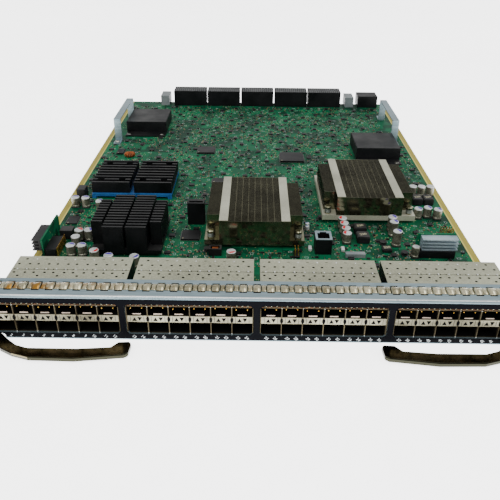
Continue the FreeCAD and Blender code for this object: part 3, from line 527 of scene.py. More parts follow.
def build_fingers_tree():
    """A row of closed arched spring fingers, each a strip swept along its arch."""
    group, tree, given, out = growing_tree(
        "arched_fingers",
        [("Centre", "Vector", None), ("Count", "Int", 6), ("Pitch", "Float", 0.01),
         ("Width", "Float", 0.005), ("Sheet", "Float", 0.0003), ("Length", "Float", 0.008),
         ("Rise", "Float", 0.002), ("Stations", "Int", 9), ("Unevenness", "Float", 0.0),
         ("Seed", "Int", 1)])
    half = tree.times(given["Length"], 0.5)
    line = tree.make("GeometryNodeCurvePrimitiveLine", {
        "Start": tree.vector(y=tree.times(half, -1.0)), "End": tree.vector(y=half)})[0]
    stations = tree.make("GeometryNodeResampleCurve", {"Curve": line,
                                                       "Count": given["Stations"]})[0]
    along = tree.make("GeometryNodeSplineParameter")["Factor"]
    arch = tree.math("SINE", tree.times(along, math.pi))
    arch = tree.math("POWER", tree.math("MAXIMUM", arch, 0.0), 0.75)
    height = tree.math("SUBTRACT", given["Rise"], given["Sheet"])
    arched = tree.make("GeometryNodeSetPosition", {
        "Geometry": stations, "Offset": tree.vector(z=tree.times(arch, height))})[0]
    strip = tree.make("GeometryNodeCurvePrimitiveQuadrilateral", {
        "Width": given["Width"], "Height": given["Sheet"]})[0]
    step = tree.vector(given["Pitch"])
    back = tree.times(tree.math("SUBTRACT", given["Count"], 1.0), -0.5)
    first = tree.make("ShaderNodeVectorMath", {0: step, "Scale": back}, operation="SCALE")[0]
    start = tree.make("ShaderNodeVectorMath", {0: first, 1: given["Centre"]},
                      operation="ADD")[0]
    row = tree.make("GeometryNodeMeshLine", {
        "Count": given["Count"], "Start Location": start, "Offset": step})[0]
    uneven = tree.make("FunctionNodeRandomValue", {
        2: tree.math("SUBTRACT", 1.0, given["Unevenness"]), 3: 1.0, "Seed": given["Seed"]},
        data_type="FLOAT")[1]
    close_tree(tree, given, out, row, swept_along(tree, arched, strip), None,
               tree.vector(1.0, 1.0, uneven))
    return group


def build_springs_tree():
    """A coil spring that stands on every point."""
    group, tree, given, out = growing_tree(
        "coil_springs",
        [("Radius", "Float", 0.003), ("Height", "Float", 0.01), ("Turns", "Float", 5.0),
         ("Wire", "Float", 0.0004), ("Sides", "Int", 6)])
    helix = tree.make("GeometryNodeCurveSpiral", {
        "Resolution": 14, "Rotations": given["Turns"], "Start Radius": given["Radius"],
        "End Radius": given["Radius"], "Height": given["Height"]})[0]
    wire = circle(tree, given["Sides"], given["Wire"])
    close_tree(tree, given, out, given["Geometry"], swept_along(tree, helix, wire))
    return group


def build_plates_tree():
    """A heatsink's stack of upright plates, narrower at both ends to clear the screws."""
    group, tree, given, out = growing_tree(
        "plate_stack",
        [("Front", "Vector", None), ("Plates", "Int", 40), ("Notch Plates", "Int", 5),
         ("Pitch", "Float", 0.002), ("Sheet", "Float", 0.0003), ("Full Width", "Float", 0.08),
         ("Notch Width", "Float", 0.06), ("Height", "Float", 0.018)])
    row = tree.make("GeometryNodeMeshLine", {
        "Count": given["Plates"], "Start Location": given["Front"],
        "Offset": tree.vector(y=given["Pitch"])})[0]
    index = tree.make("GeometryNodeInputIndex")[0]
    last = tree.math("SUBTRACT", given["Plates"], given["Notch Plates"])
    at_front = tree.math("LESS_THAN", index, given["Notch Plates"])
    at_rear = tree.math("SUBTRACT", 1.0, tree.math("LESS_THAN", index, last))
    at_end = tree.math("MAXIMUM", at_front, at_rear)
    width = tree.span(at_end, 0.0, 1.0, given["Full Width"], given["Notch Width"])
    close_tree(tree, given, out, row, tree.make("GeometryNodeMeshCube")[0], None,
               tree.vector(width, given["Sheet"], given["Height"]))
    return group


def build_strewn_tree():
    """Small board parts strewn over an area, square to the board's edges."""
    group, tree, given, out = growing_tree(
        "strewn_parts",
        [("Shape", "Object", None), ("Least Gap", "Float", 0.003),
         ("Density", "Float", 20000.0), ("Seed", "Int", 1)])
    points = tree.make("GeometryNodeDistributePointsOnFaces", {
        "Mesh": given["Geometry"], "Distance Min": given["Least Gap"],
        "Density Max": given["Density"], "Seed": given["Seed"]},
        distribute_method="POISSON")["Points"]
    shape = tree.make("GeometryNodeObjectInfo", {"Object": given["Shape"]})["Geometry"]
    quarter = tree.make("FunctionNodeRandomValue", {4: 0, 5: 1, "Seed": given["Seed"]},
                        data_type="INT")[2]
    close_tree(tree, given, out, points, shape,
               tree.vector(z=tree.times(quarter, math.pi / 2)))
    return group


def build_winding_tree():
    """Wire loops round a ring core."""
    group, tree, given, out = growing_tree(
        "ring_winding",
        [("Centre", "Vector", None), ("Core Radius", "Float", 0.0045),
         ("Loop Radius", "Float", 0.0022), ("Wire", "Float", 0.0004), ("Turns", "Int", 22)])
    core = circle(tree, given["Turns"], given["Core Radius"])
    placed = tree.make("GeometryNodeSetPosition", {"Geometry": core,
                                                   "Offset": given["Centre"]})[0]
    loop = circle(tree, 12, given["Loop Radius"])
    wire = circle(tree, 6, given["Wire"])
    along = tree.make("GeometryNodeInputTangent")[0]
    facing = tree.make("FunctionNodeAlignRotationToVector", {"Vector": along}, axis="Z")[0]
    close_tree(tree, given, out, placed, swept_along(tree, loop, wire), facing)
    return group


COPIES = build_copies_tree()
FINGERS = build_fingers_tree()
SPRINGS = build_springs_tree()
PLATES = build_plates_tree()
STREWN = build_strewn_tree()
WINDING = build_winding_tree()


# ---- meshes and pieces -------------------------------------------------------------

def link_object(name, data):
    item = bpy.data.objects.new(name, data)
    bpy.context.scene.collection.objects.link(item)
    return item


def mesh_of(name, work, closed=True):
    """A mesh from a bmesh, with its faces turned outwards."""
    if closed:
        bmesh.ops.recalc_face_normals(work, faces=work.faces)
    mesh = bpy.data.meshes.new(name)
    work.to_mesh(mesh)
    work.free()
    return mesh


def points_mesh(places, turns=None):
    """Loose points that keep a turn each, in radians about X, Y and Z."""
    mesh = bpy.data.meshes.new("points")
    mesh.from_pydata(places, [], [])
    kept = mesh.attributes.new("turn", "FLOAT_VECTOR", "POINT")
    for i, turn in enumerate(turns or []):
        kept.data[i].vector = turn
    return mesh


def settled_mesh(maker):
    """The plain mesh of an evaluated object."""
    settled = maker.evaluated_get(bpy.context.evaluated_depsgraph_get())
    return bpy.data.meshes.new_from_object(settled)


def grown(name, tree, values, ground=None):
    """The plain mesh object that a geometry tree makes on the ground mesh."""
    maker = link_object(name + "_maker", ground or bpy.data.meshes.new(name + "_ground"))
    modifier = maker.modifiers.new("grow", "NODES")
    modifier.node_group = tree
    for item in tree.interface.items_tree:
        if item.item_type == "SOCKET" and item.in_out == "INPUT" and item.name in values:
            modifier[item.identifier] = values[item.name]
    mesh = settled_mesh(maker)
    mesh.name = name
    maker.modifiers.clear()
    bpy.data.objects.remove(maker)
    if "turn" in mesh.attributes:
        mesh.attributes.remove(mesh.attributes["turn"])
    return link_object(name, mesh)


def settle(piece, body="card", nodes=()):
    """Hangs a finished piece on the body it rides on, and hides the CAD nodes it stands for."""
    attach(piece, body)
    if nodes:
        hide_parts(*nodes)


def settle_mesh(name, mesh, material, body="card", nodes=()):
    """A piece straight from a mesh."""
    piece = link_object(name, mesh)
    piece.data.materials.append(material)
    settle(piece, body, nodes)


def shaped(name, tree, shape, values, ground, body="card", nodes=()):
    """One piece of many copies of a shape, set out by a geometry tree."""
    model = link_object(name + "_shape", shape)
    piece = grown(name, tree, dict(values, Shape=model), ground)
    bpy.data.objects.remove(model)
    settle(piece, body, nodes)


def copies(name, shape, places, slot, material=None, turns=None, jitter=0.0, seed=1,
           body="card", nodes=()):
    """One piece with a shape at every place, in the slot's own finish unless one is given."""
    values = {"Material": material or FINISH[slot], "Jitter": jitter, "Seed": seed}
    shaped(name, COPIES, shape, values, points_mesh(places, turns), body, nodes)


def mm(*values):
    return tuple(value * MM for value in values)


def block(width, length, height, bevel=0.0, lift=0.0):
    """A block centred on X and Y that stands on Z = lift, all in millimetres."""
    work = bmesh.new()
    bmesh.ops.create_cube(work, size=1.0)
    bmesh.ops.scale(work, vec=mm(width, length, height), verts=work.verts)
    bmesh.ops.translate(work, vec=mm(0, 0, height / 2 + lift), verts=work.verts)
    if bevel:
        bmesh.ops.bevel(work, geom=list(work.edges), offset=bevel * MM, segments=1,
                        affect="EDGES")
    return mesh_of("block", work)


def turned(profile, sides):
    """A closed round shape from (radius, height) pairs in millimetres, bottom to top."""
    work = bmesh.new()
    rings = []
    for radius, height in [mm(*pair) for pair in profile]:
        steps = [2 * math.pi * i / sides for i in range(sides)] if radius else [0.0]
        rings.append([work.verts.new((radius * math.cos(step), radius * math.sin(step), height))
                      for step in steps])
    for low, high in zip(rings, rings[1:]):
        for i in range(sides):
            j = (i + 1) % sides
            corners = [low[i % len(low)], low[j % len(low)], high[j % len(high)],
                       high[i % len(high)]]
            unique = list(dict.fromkeys(corners))
            if len(unique) > 2:
                work.faces.new(unique)
    for ring in (rings[0], rings[-1]):
        if len(ring) > 2:
            work.faces.new(ring)
    return mesh_of("turned", work)


def flat(points, upright=False, thick=PRINT):
    """A flat figure with its corners in millimetres: face up, or upright facing forward."""
    work = bmesh.new()
    corners = [mm(*pair) for pair in points]
    levels = []
    for level in (0.0, thick):
        spots = [(u, -level, v) if upright else (u, v, level) for u, v in corners]
        levels.append([work.verts.new(spot) for spot in spots])
    work.faces.new(levels[0])
    work.faces.new(levels[1])
    count = len(corners)
    for i in range(count):
        j = (i + 1) % count
        work.faces.new((levels[0][i], levels[0][j], levels[1][j], levels[1][i]))
    return mesh_of("flat", work)


def disc(radius, sides, squash=1.0):
    """The corners of a round or oval figure."""
    steps = [2 * math.pi * i / sides for i in range(sides)]
    return [(radius * math.cos(step), squash * radius * math.sin(step)) for step in steps]


def rectangle(width, height):
    return [(u * width / 2, v * height / 2) for u, v in ((-1, -1), (1, -1), (1, 1), (-1, 1))]


def copied_node(node):
    """A merged copy of a CAD node's mesh, to be worked on."""
    work = bmesh.new()
    work.from_mesh(NODES[node].data)
    bmesh.ops.remove_doubles(work, verts=work.verts, dist=0.001 * MM)
    return work


def solids(node):
    """The corners of the box round each separate solid of a node."""
    work = copied_node(node)
    boxes = []
    left = set(work.verts)
    while left:
        stack = [left.pop()]
        found = []
        while stack:
            vert = stack.pop()
            found.append(vert.co.copy())
            for edge in vert.link_edges:
                other = edge.other_vert(vert)
                if other in left:
                    left.remove(other)
                    stack.append(other)
        boxes.append(tuple(Vector([pick(place[i] for place in found) for i in range(3)])
                           for pick in (min, max)))
    work.free()
    return sorted(boxes, key=lambda pair: (round(pair[0].x, 5), round(pair[0].y, 5)))


def softened(name, node, slot, width, body):
    """A CAD node again with its sharp edges rounded over."""
    work = copied_node(node)
    bmesh.ops.dissolve_limit(work, angle_limit=0.02, verts=work.verts, edges=work.edges)
    sharp = [edge for edge in work.edges
             if len(edge.link_faces) == 2 and edge.calc_face_angle(0) > 0.5]
    bmesh.ops.bevel(work, geom=sharp, offset=width, segments=2, affect="EDGES",
                    clamp_overlap=body == "card")
    bmesh.ops.triangulate(work, faces=[face for face in work.faces if len(face.verts) > 4])
    settle_mesh(name, mesh_of(name, work), FINISH[slot], body, (node,))


def printed(name, size, words, material):
    """Plain numbers as one thin print, from pairs of a word and the matrix that places it."""
    work = bmesh.new()
    for word, placing in words:
        curve = bpy.data.curves.new("print", "FONT")
        curve.body = word
        curve.size = size * MM
        curve.align_x = "CENTER"
        curve.align_y = "CENTER"
        curve.extrude = PRINT / 2
        curve.resolution_u = 2
        holder = link_object("print", curve)
        bpy.context.view_layer.update()
        mesh = settled_mesh(holder)
        bpy.data.objects.remove(holder)
        mesh.transform(placing)
        work.from_mesh(mesh)
    bmesh.ops.remove_doubles(work, verts=work.verts, dist=0.0005 * MM)
    settle_mesh(name, mesh_of(name, work), material)


# ---- flange gasket and collars -----------------------------------------------------

def finger_row(name, slot, centre, count, pitch, width, sheet, length, rise, stations,
               unevenness, seed):
    return grown(name, FINGERS, {
        "Centre": centre, "Count": count, "Pitch": pitch, "Width": width * MM,
        "Sheet": sheet * MM, "Length": length, "Rise": rise, "Stations": stations,
        "Unevenness": unevenness, "Seed": seed, "Material": FINISH[slot]})


def add_gasket():
    """Raised fingers over the flange's windows, with lower bridges between them."""
    middle = Vector((0, (GASKET_LOW.y + GASKET_HIGH.y) / 2, GASKET_LOW.z + 0.15 * MM))
    length = GASKET_HIGH.y - GASKET_LOW.y
    count = round((GASKET_HIGH.x - GASKET_LOW.x) / FINGER_PITCH)
    raised = finger_row("gasket_fingers", "zinc_spring", middle, count, FINGER_PITCH, 4.9, 0.3,
                        length - 0.9 * MM, GASKET_HIGH.z - middle.z, 13, 0.1, 4)
    settle(raised, nodes=("flange_gasket",))
    bridges = finger_row("gasket_bridges", "zinc_spring", middle, count - 1, FINGER_PITCH, 3.9,
                         0.3, length - 1.6 * MM, 1.0 * MM, 9, 0.15, 9)
    settle(bridges)
    places = [((i - (count - 1) / 2) * FINGER_PITCH, y, PLATE_HIGH.z) for i in range(count)
              for y in (GASKET_LOW.y - 0.2 * MM, GASKET_HIGH.y + 0.3 * MM)]
    # Dark figures at the flange's windows, as painted shade.
    copies("gasket_windows", flat(rectangle(5.1, 1.2)), places, "zinc_sheet", SHADE_AND_MARK_BLACK)
    # A painted highlight along the bend at the top of the plate.
    bend = block((PLATE_HIGH.x - PLATE_LOW.x) / MM - 6.0, 1.1, 0.25, 0.1)
    copies("plate_bend_light", bend, [(0, 1.2 * MM, PLATE_HIGH.z - 0.05 * MM)], "zinc_sheet",
           HIGHLIGHT_PAINT)


def add_collars():
    """Copper fingers that press on the rim of each opening, one row to a group."""
    middle_y = (COLLAR_LOW.y + COLLAR_HIGH.y) / 2
    bottom = COLLAR_LOW.z + 0.15 * MM
    work = bmesh.new()
    for i, centre in enumerate(GROUP_CENTRES):
        row = finger_row("collar_row_%d" % i, "copper_spring", Vector((centre, middle_y, bottom)),
                         PORTS_ACROSS * COLLAR_FINGERS, PORT_PITCH / COLLAR_FINGERS, 2.7, 0.25,
                         COLLAR_HIGH.y - COLLAR_LOW.y, COLLAR_HIGH.z - bottom, 7, 0.2, 3 + i)
        work.from_mesh(row.data)
        bpy.data.objects.remove(row)
    settle_mesh("collar_fingers", mesh_of("collar_fingers", work, closed=False),
                FINISH["copper_spring"], nodes=("opening_collars",))


# ---- cage covers -------------------------------------------------------------------

SIDE_HOLES = (3.5, -4.4)        # off each column's middle, in millimetres
SEAM = 44.3                     # where the seam runs, behind the plate's face
REAR_ROW = 58.8


def add_cover_details():
    """Rows of small holes, the seam with its rivets and tabs, and embossed hooks."""
    holes = []
    specks = []
    rivets = []
    tabs = []
    dashes = []

    def spots(x, y, *offs):
        """Places on the cover at y, beside x, in millimetres apart from x."""
        return [(x + off * MM, y * MM, COVER_HIGH.z) for off in offs]

    for column, x in enumerate(COLUMNS):
        i = column % PORTS_ACROSS
        holes += spots(x, 35.9, -0.5)
        holes += spots(x, 40.3, *SIDE_HOLES) + spots(x, 52.0, *SIDE_HOLES)
        specks += spots(x, 31.9, *SIDE_HOLES)
        if i in (0, PORTS_ACROSS - 1):
            holes += spots(x, REAR_ROW, -0.6)
        else:
            dashes += spots(x, REAR_ROW + 0.2, -0.5)
        if i < PORTS_ACROSS - 1:
            rivets += spots(x, REAR_ROW, PORT_PITCH / MM / 2 - 0.3)
        rivets += spots(x, SEAM + 0.7, -3.4, 3.2)
        tabs += spots(x, SEAM + 0.3, -5.4, 2.4, 4.8)
    rivet = turned([(0, 0), (0.62, 0), (0.55, 0.18), (0.3, 0.3), (0, 0.33)], 10)
    seam = flat(rectangle(PORTS_ACROSS * PORT_PITCH / MM, 0.35))
    # The holes, specks, dashes and tabs are flat dark figures of painted shade; the rivets carry
    # a painted highlight.
    for name, shape, places, material, jitter, seed in (
            ("cover_holes", flat(disc(1.0, 12, 0.9)), holes, SHADE_AND_MARK_BLACK, 0.0, 1),
            ("cover_specks", flat(rectangle(0.7, 0.9)), specks, SHADE_AND_MARK_BLACK, 0.0, 1),
            ("cover_dashes", flat(rectangle(2.0, 0.5)), dashes, PORT_SHADE, 0.2, 5),
            ("cover_tabs", flat(rectangle(0.6, 1.5)), tabs, SHADE_AND_MARK_BLACK, 0.25, 8),
            ("cover_rivets", rivet, rivets, HIGHLIGHT_PAINT, 0.0, 1),
            ("cover_seams", seam, [(x, SEAM * MM, COVER_HIGH.z) for x in GROUP_CENTRES],
             PORT_SHADE, 0.0, 1)):
        copies(name, shape, places, "cage_nickel", material, jitter=jitter, seed=seed)


# ---- the face of the ports ---------------------------------------------------------

def row(columns, y, z, *steps):
    """Places at every column, moved by each (x, y, z) step in millimetres."""
    return [(x + right * MM, y + back * MM, z + up * MM)
            for x in columns for right, back, up in steps]


def add_band_details():
    """Arrows, slits, latch tabs and the reliefs beside every dividing wall; the slits and reliefs
    are dark as painted shade, the feet of the walls pale as painted highlight.
    """
    face = BAND_LOW.y
    low = BAND_LOW.z
    high = BAND_HIGH.z
    middle = (low + high) / 2
    wall = WALL_LOW.y
    up = flat([(-1.6, -1.5), (1.6, -1.5), (0, 1.6)], True)
    down = flat([(-1.6, 1.5), (0, -1.6), (1.6, 1.5)], True)
    slit = flat(rectangle(0.28, (high - low) / MM - 1.0), True)
    feet = row(INNER_WALLS, wall, WALL_LOW.z, (0, 0, 0.5))
    feet += row(INNER_WALLS, wall, WALL_HIGH.z, (0, 0, -0.4))
    for name, shape, places, material in (
            ("up_arrows", up, row(COLUMNS, face, middle, (-1.9, 0, -0.2)), SHADE_AND_MARK_BLACK),
            ("down_arrows", down, row(COLUMNS, face, middle, (1.7, 0, -0.1)), SHADE_AND_MARK_BLACK),
            ("band_slits", slit, row(COLUMNS, face, middle, (-4.6, 0, 0), (4.5, 0, 0)),
             SHADE_AND_MARK_BLACK),
            ("wall_reliefs", flat(disc(1.05, 12, 2.1), True),
             row(INNER_WALLS, wall, middle, (0, 0, 0)), SHADE_AND_MARK_BLACK),
            ("latch_tabs", block(5.8, 0.5, 0.75, 0.1),
             row(COLUMNS, face, high, (-0.2, 0.9, 0.7)), LATCH_LIP),
            ("latch_hooks", block(4.8, 1.0, 0.3, 0.08),
             row(COLUMNS, face, low, (-0.2, 0.8, -0.6)), CAGE_MOUTH_SHADE),
            ("wall_feet", flat(disc(0.4, 8), True), feet, HIGHLIGHT_PAINT)):
        copies(name, shape, places, "cage_nickel", material)
    springs = [(x + off * MM, face + 1.6 * MM, (25.6 + 0.5 * math.sin(i * 2.1)) * MM)
               for i, x in enumerate(COLUMNS) for off in (-4.2, 3.4)]
    copies("port_springs", block(0.8, 1.2, 0.9, 0.2), springs, "gold_pin", jitter=0.2, seed=6)


def add_rims():
    """The bright raw edge round each opening: cover edge above, walls at both sides."""
    front = OVERLAY_LOW.y + 1.0 * MM
    tall = (WALL_HIGH.z - WALL_LOW.z) / MM - 2.0
    lip = block(PORTS_ACROSS * PORT_PITCH / MM - 2.0, 0.8, 0.55, 0.12)
    copies("opening_lips", lip, row(GROUP_CENTRES, front, COVER_HIGH.z, (0, 0, -0.75)),
           "cage_nickel", CAGE_MOUTH_SHADE)
    copies("opening_sides", block(0.5, 0.8, tall, 0.12),
           row(OUTER_WALLS, front, WALL_LOW.z, (0, 0, 1.0)), "cage_nickel", CAGE_MOUTH_SHADE)


def add_numbers():
    """Plain port numbers under the openings, leaning down to the right."""
    lean = Matrix.Rotation(math.radians(42), 4, "Y") @ Matrix.Rotation(math.radians(90), 4, "X")
    spots = row(COLUMNS, OVERLAY_LOW.y - PRINT / 2, 3.9 * MM, (-2.9, 0, 0), (3.1, 0, 0))
    words = [(str(i + 1), Matrix.Translation(spot) @ lean) for i, spot in enumerate(spots)]
    printed("port_numbers", 3.0, words, WHITE_PRINT)


# ---- nickel heatsinks --------------------------------------------------------------

SINK_PLATES = 46
SINK_NOTCH_PLATES = 6           # narrower plates at each end
SINK_NOTCH_WIDTH = 60.0         # their width, in millimetres
SINK_SHEET = 0.3
SINK_TAB_ROWS = 7
SINK_TAB_STEP = 5.6
SINK_BAR = 26.25                # from the middle to each bar of folded tabs


def add_nickel_sink(side):
    """Many thin plates, two bars of folded tabs, and fine rows of locking tabs."""
    low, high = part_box(side + "_sink_fins")
    middle = (low.x + high.x) / 2
    sheet = SINK_SHEET * MM
    pitch = (high.y - low.y - sheet) / (SINK_PLATES - 1)
    height = high.z - low.z - 0.5 * MM
    plates = grown(side + "_sink_plates", PLATES, {
        "Front": Vector((middle, low.y + sheet / 2, low.z + height / 2)),
        "Plates": SINK_PLATES, "Notch Plates": SINK_NOTCH_PLATES, "Pitch": pitch,
        "Sheet": sheet, "Full Width": high.x - low.x, "Notch Width": SINK_NOTCH_WIDTH * MM,
        "Height": height, "Material": FINISH["nickel_plate"]})
    settle(plates, nodes=(side + "_sink_fins",))
    tabs = []
    locks = []
    for i in range(SINK_PLATES - 1):
        y = low.y + sheet + (i + 0.5) * pitch
        tabs += row([middle], y, high.z, (-SINK_BAR, 0, -0.5), (SINK_BAR, 0, -0.5))
        for j in range(SINK_TAB_ROWS):
            locks += row([middle], y, high.z, ((j - 3) * SINK_TAB_STEP, 0, -1.1))
    ends = [(middle, low.y + 0.18 * MM, low.z), (middle, high.y - 0.18 * MM, low.z)]
    # The bars of folded tabs take the lit copy of the nickel, a painted highlight.
    copies(side + "_sink_tabs", block(7.5, pitch / MM - 0.25, 0.5), tabs, "nickel_plate",
           LIT_SINK_NICKEL)
    copies(side + "_sink_locks", block(0.5, pitch / MM, 0.3), locks, "nickel_plate")
    copies(side + "_sink_fronts", block(SINK_NOTCH_WIDTH, 0.35, height / MM - 0.1, 0.05), ends,
           "nickel_plate")


def centres_of(node):
    return [((low.x + high.x) / 2, (low.y + high.y) / 2, low.z) for low, high in solids(node)]


def add_spring_screws():
    """Shouldered screws with coil springs in the bare corners of the nickel sinks."""
    low, high = solids("sink_screws")[0]
    feet = centres_of("sink_screws")
    tall = (high.z - low.z) / MM
    screw = turned([(0, 0), (2.9, 0), (2.9, 0.8), (1.3, 0.8), (1.3, tall - 2.6),
                    (3.2, tall - 2.6), (3.3, tall - 0.9), (2.6, tall - 0.2), (1.2, tall),
                    (1.0, tall - 0.8), (0, tall - 0.8)], 20)
    copies("spring_screws", screw, feet, "steel_screw", FINISH["nickel_plate"],
           nodes=("sink_screws",))
    springs = grown("sink_springs", SPRINGS, {
        "Radius": 2.5 * MM, "Height": (tall - 3.9) * MM, "Turns": 4.5, "Wire": 0.42 * MM,
        "Sides": 6, "Material": SOLDER}, points_mesh([(x, y, z + 0.9 * MM) for x, y, z in feet]))
    settle(springs)


# ---- capacitors --------------------------------------------------------------------

# Painted cans, as (x, y, turn) of the painted segment: millimetres and radians.
RED_CANS = [
    (-154.2, 131.8, 1.0), (-133.2, 97.4, -0.5), (-20.9, 98.3, -1.4), (77.8, 160.8, 2.9),
    (78.2, 151.4, 2.9), (78.6, 142.0, 2.9), (78.4, 132.6, 2.9)]
VIOLET_CANS = [
    (-154.6, 105.5, 1.2), (-145.4, 105.9, 1.3), (-146.1, 132.4, 0.4), (-98.8, 88.8, -0.6),
    (-174.6, 197.6, 1.4), (-164.7, 197.0, 1.3), (-149.4, 190.1, 1.0), (151.2, 182.0, 0.4),
    (160.8, 184.6, 0.3), (169.3, 181.0, 0.5), (-119.8, 89.7, 1.5)]
CAN_NECK = 1.9                  # how high the pressed groove sits


def add_capacitors(node, name):
    """Cans on black seats, with a pressed groove, a rolled rim and a scored top."""
    low, high = solids(node)[0]
    places = centres_of(node)
    tall = (high.z - low.z) / MM
    radius = (high.x - low.x) / 2 / MM - 0.02
    sleeve = turned([(0, CAN_NECK * 0.45), (radius - 0.3, CAN_NECK * 0.45),
                     (radius, CAN_NECK * 0.6), (radius, CAN_NECK + 0.3),
                     (radius - 0.4, CAN_NECK + 0.75), (radius, CAN_NECK + 1.2),
                     (radius, tall - 0.75), (0, tall - 0.7)], 20)
    top = turned([(0, tall - 0.8), (radius - 0.02, tall - 0.76), (radius - 0.12, tall - 0.3),
                  (radius - 0.5, tall), (radius - 0.8, tall - 0.12), (0, tall - 0.14)], 20)
    seat = block(2 * radius - 0.1, 2 * radius - 0.1, CAN_NECK * 0.5, 0.5)
    copies(name + "_sleeves", sleeve, places, "can_aluminium", CAN_SLEEVE, nodes=(node,))
    copies(name + "_tops", top, places, "can_aluminium")
    copies(name + "_seats", seat, places, "black_plastic")
    return places, tall, radius


def segment(radius):
    """A painted segment for the top of a can."""
    angles = [math.radians(-74 + 148 * i / 9) for i in range(10)]
    return flat([(radius * math.cos(angle), radius * math.sin(angle)) for angle in angles])


def paint_cans(name, cans, spots, material):
    """Paints the cans nearest to the given spots."""
    places, tall, radius = cans
    found = [min(places, key=lambda place: math.hypot(place[0] - x * MM, place[1] - y * MM))
             for x, y, turn in spots]
    copies(name, segment(radius - 0.75), [(x, y, z + (tall - 0.13) * MM) for x, y, z in found],
           "can_aluminium", material, turns=[(0, 0, turn) for x, y, turn in spots])


def add_cans():
    short = add_capacitors("short_capacitors", "short_can")
    tall = add_capacitors("tall_capacitors", "tall_can")
    paint_cans("red_can_marks", short, RED_CANS, RED_MARK)
    paint_cans("violet_can_marks", short, VIOLET_CANS, VIOLET_MARK)
    every = [(place[0] / MM, place[1] / MM, 0.4) for place in tall[0]]
    paint_cans("tall_can_marks", tall, every, VIOLET_MARK)


# ---- small parts on the board ------------------------------------------------------

CELL = 3.0 * MM                 # the squares that small parts are strewn over
CLEARANCE = 1.3 * MM
BARE_LEFT = -177.0 * MM
BARE_RIGHT = 177.0 * MM
BARE_FRONT = 66.0 * MM
BARE_REAR = 526.0 * MM
BUSY_REAR = 240.0 * MM          # the board is fuller in front of this line
REAR_SHARE = 0.55
STREWN_DENSITY = 120000.0       # points to a square metre, before the least gap
BOARD_PARTS = [
    "black_sink", "blue_carrier", "module_boards", "module_blocks", "module_pins",
    "module_choke", "right_module_sink", "short_capacitors", "tall_capacitors", "flat_packs",
    "inductors", "toroid_choke", "tall_transformer", "small_transformer", "jack_housing",
    "slot_box", "flat_connector", "header_base", "straps", "power_bricks",
    "backplane_connectors", "guide_sockets", "power_connector", "centre_sink_base",
    "right_sink_base"]


def free_ground(chance, seed):
    """Small squares of bare board that no part stands on, a share of them picked by chance."""
    picker = random.Random(seed)
    taken = [box for node in BOARD_PARTS for box in solids(node)]
    half = CELL / 2
    reach = half + CLEARANCE
    work = bmesh.new()
    for i in range(round((BARE_RIGHT - BARE_LEFT) / CELL)):
        for j in range(round((BARE_REAR - BARE_FRONT) / CELL)):
            x = BARE_LEFT + (i + 0.5) * CELL
            y = BARE_FRONT + (j + 0.5) * CELL
            if any(low.x - reach < x < high.x + reach and low.y - reach < y < high.y + reach
                   for low, high in taken):
                continue
            patch = 0.5 + 0.5 * math.sin(95.0 * x + seed) * math.sin(70.0 * y + 2.0 * seed)
            busy = patch * (1.0 if y < BUSY_REAR else REAR_SHARE)
            if picker.random() > chance * busy:
                continue
            work.faces.new([work.verts.new((x + u * half, y + v * half, BOARD_TOP))
                            for u, v in ((-1, -1), (1, -1), (1, 1), (-1, 1))])
    return mesh_of("free_ground", work, closed=False)


def blocks(*given):
    """Several blocks as one shape, each (x, y, width, length, height) in millimetres."""
    work = bmesh.new()
    for x, y, width, length, height in given:
        mesh = block(width, length, height)
        mesh.transform(Matrix.Translation(mm(x, y, 0)))
        work.from_mesh(mesh)
    return mesh_of("blocks", work)


def add_strewn_parts():
    """Surface-mounted parts in four sizes, with their solder, prints and vias."""
    chip = [(0, 0, 1.3, 0.8, 0.6)]
    ends = [(-0.85, 0, 0.4, 0.85, 0.62), (0.85, 0, 0.4, 0.85, 0.62)]
    six = [(side * 1.0, y, 0.9, 0.4, 0.3) for side in (-1, 1) for y in (-0.9, 0, 0.9)]
    eight = [(side * 2.6, -1.9 + 1.27 * i, 1.4, 0.45, 0.5) for side in (-1, 1)
             for i in range(4)]
    outline = [(0, 1.1, 3.0, 0.14, 0.05), (0, -1.1, 3.0, 0.14, 0.05),
               (-1.5, 0, 0.14, 2.3, 0.05), (1.5, 0, 0.14, 2.3, 0.05)]
    dot = [(0.42, 0), (0.36, FILM), (0, FILM)]
    for name, shape, slot, material, gap, chance, seed in (
            ("tan_chips", chip, "dark_ferrite", CHIP_TAN, 3.3, 0.6, 11),
            ("tan_chips_ends", ends, "steel_screw", SOLDER, 3.3, 0.6, 11),
            ("black_chips", chip, "dark_ferrite", CHIP_BLACK, 3.9, 0.5, 23),
            ("black_chips_ends", ends, "steel_screw", SOLDER, 3.9, 0.5, 23),
            ("small_packs", [(0, 0, 1.6, 2.9, 1.1)], "dark_ferrite", CHIP_BLACK, 10.0, 0.5, 31),
            ("small_pack_legs", six, "steel_screw", SOLDER, 10.0, 0.5, 31),
            ("eight_leg_packs", [(0, 0, 3.9, 4.9, 1.5)], "dark_ferrite", CHIP_BLACK, 21.0, 0.35,
             47),
            ("eight_legs", eight, "steel_screw", SOLDER, 21.0, 0.35, 47),
            ("board_prints", outline, "green_board", WHITE_PRINT, 8.5, 0.6, 59),
            ("board_vias", dot, "green_board", SOLDER, 3.4, 0.45, 67),
            ("gold_dots", dot, "gold_pin", FINISH["gold_pin"], 7.5, 0.6, 71)):
        model = turned(shape, 6) if shape is dot else blocks(*shape)
        shaped(name, STREWN, model, {
            "Least Gap": gap * MM, "Density": STREWN_DENSITY, "Seed": seed,
            "Material": material}, free_ground(chance, seed))


LEG_PITCH = 0.8 * MM


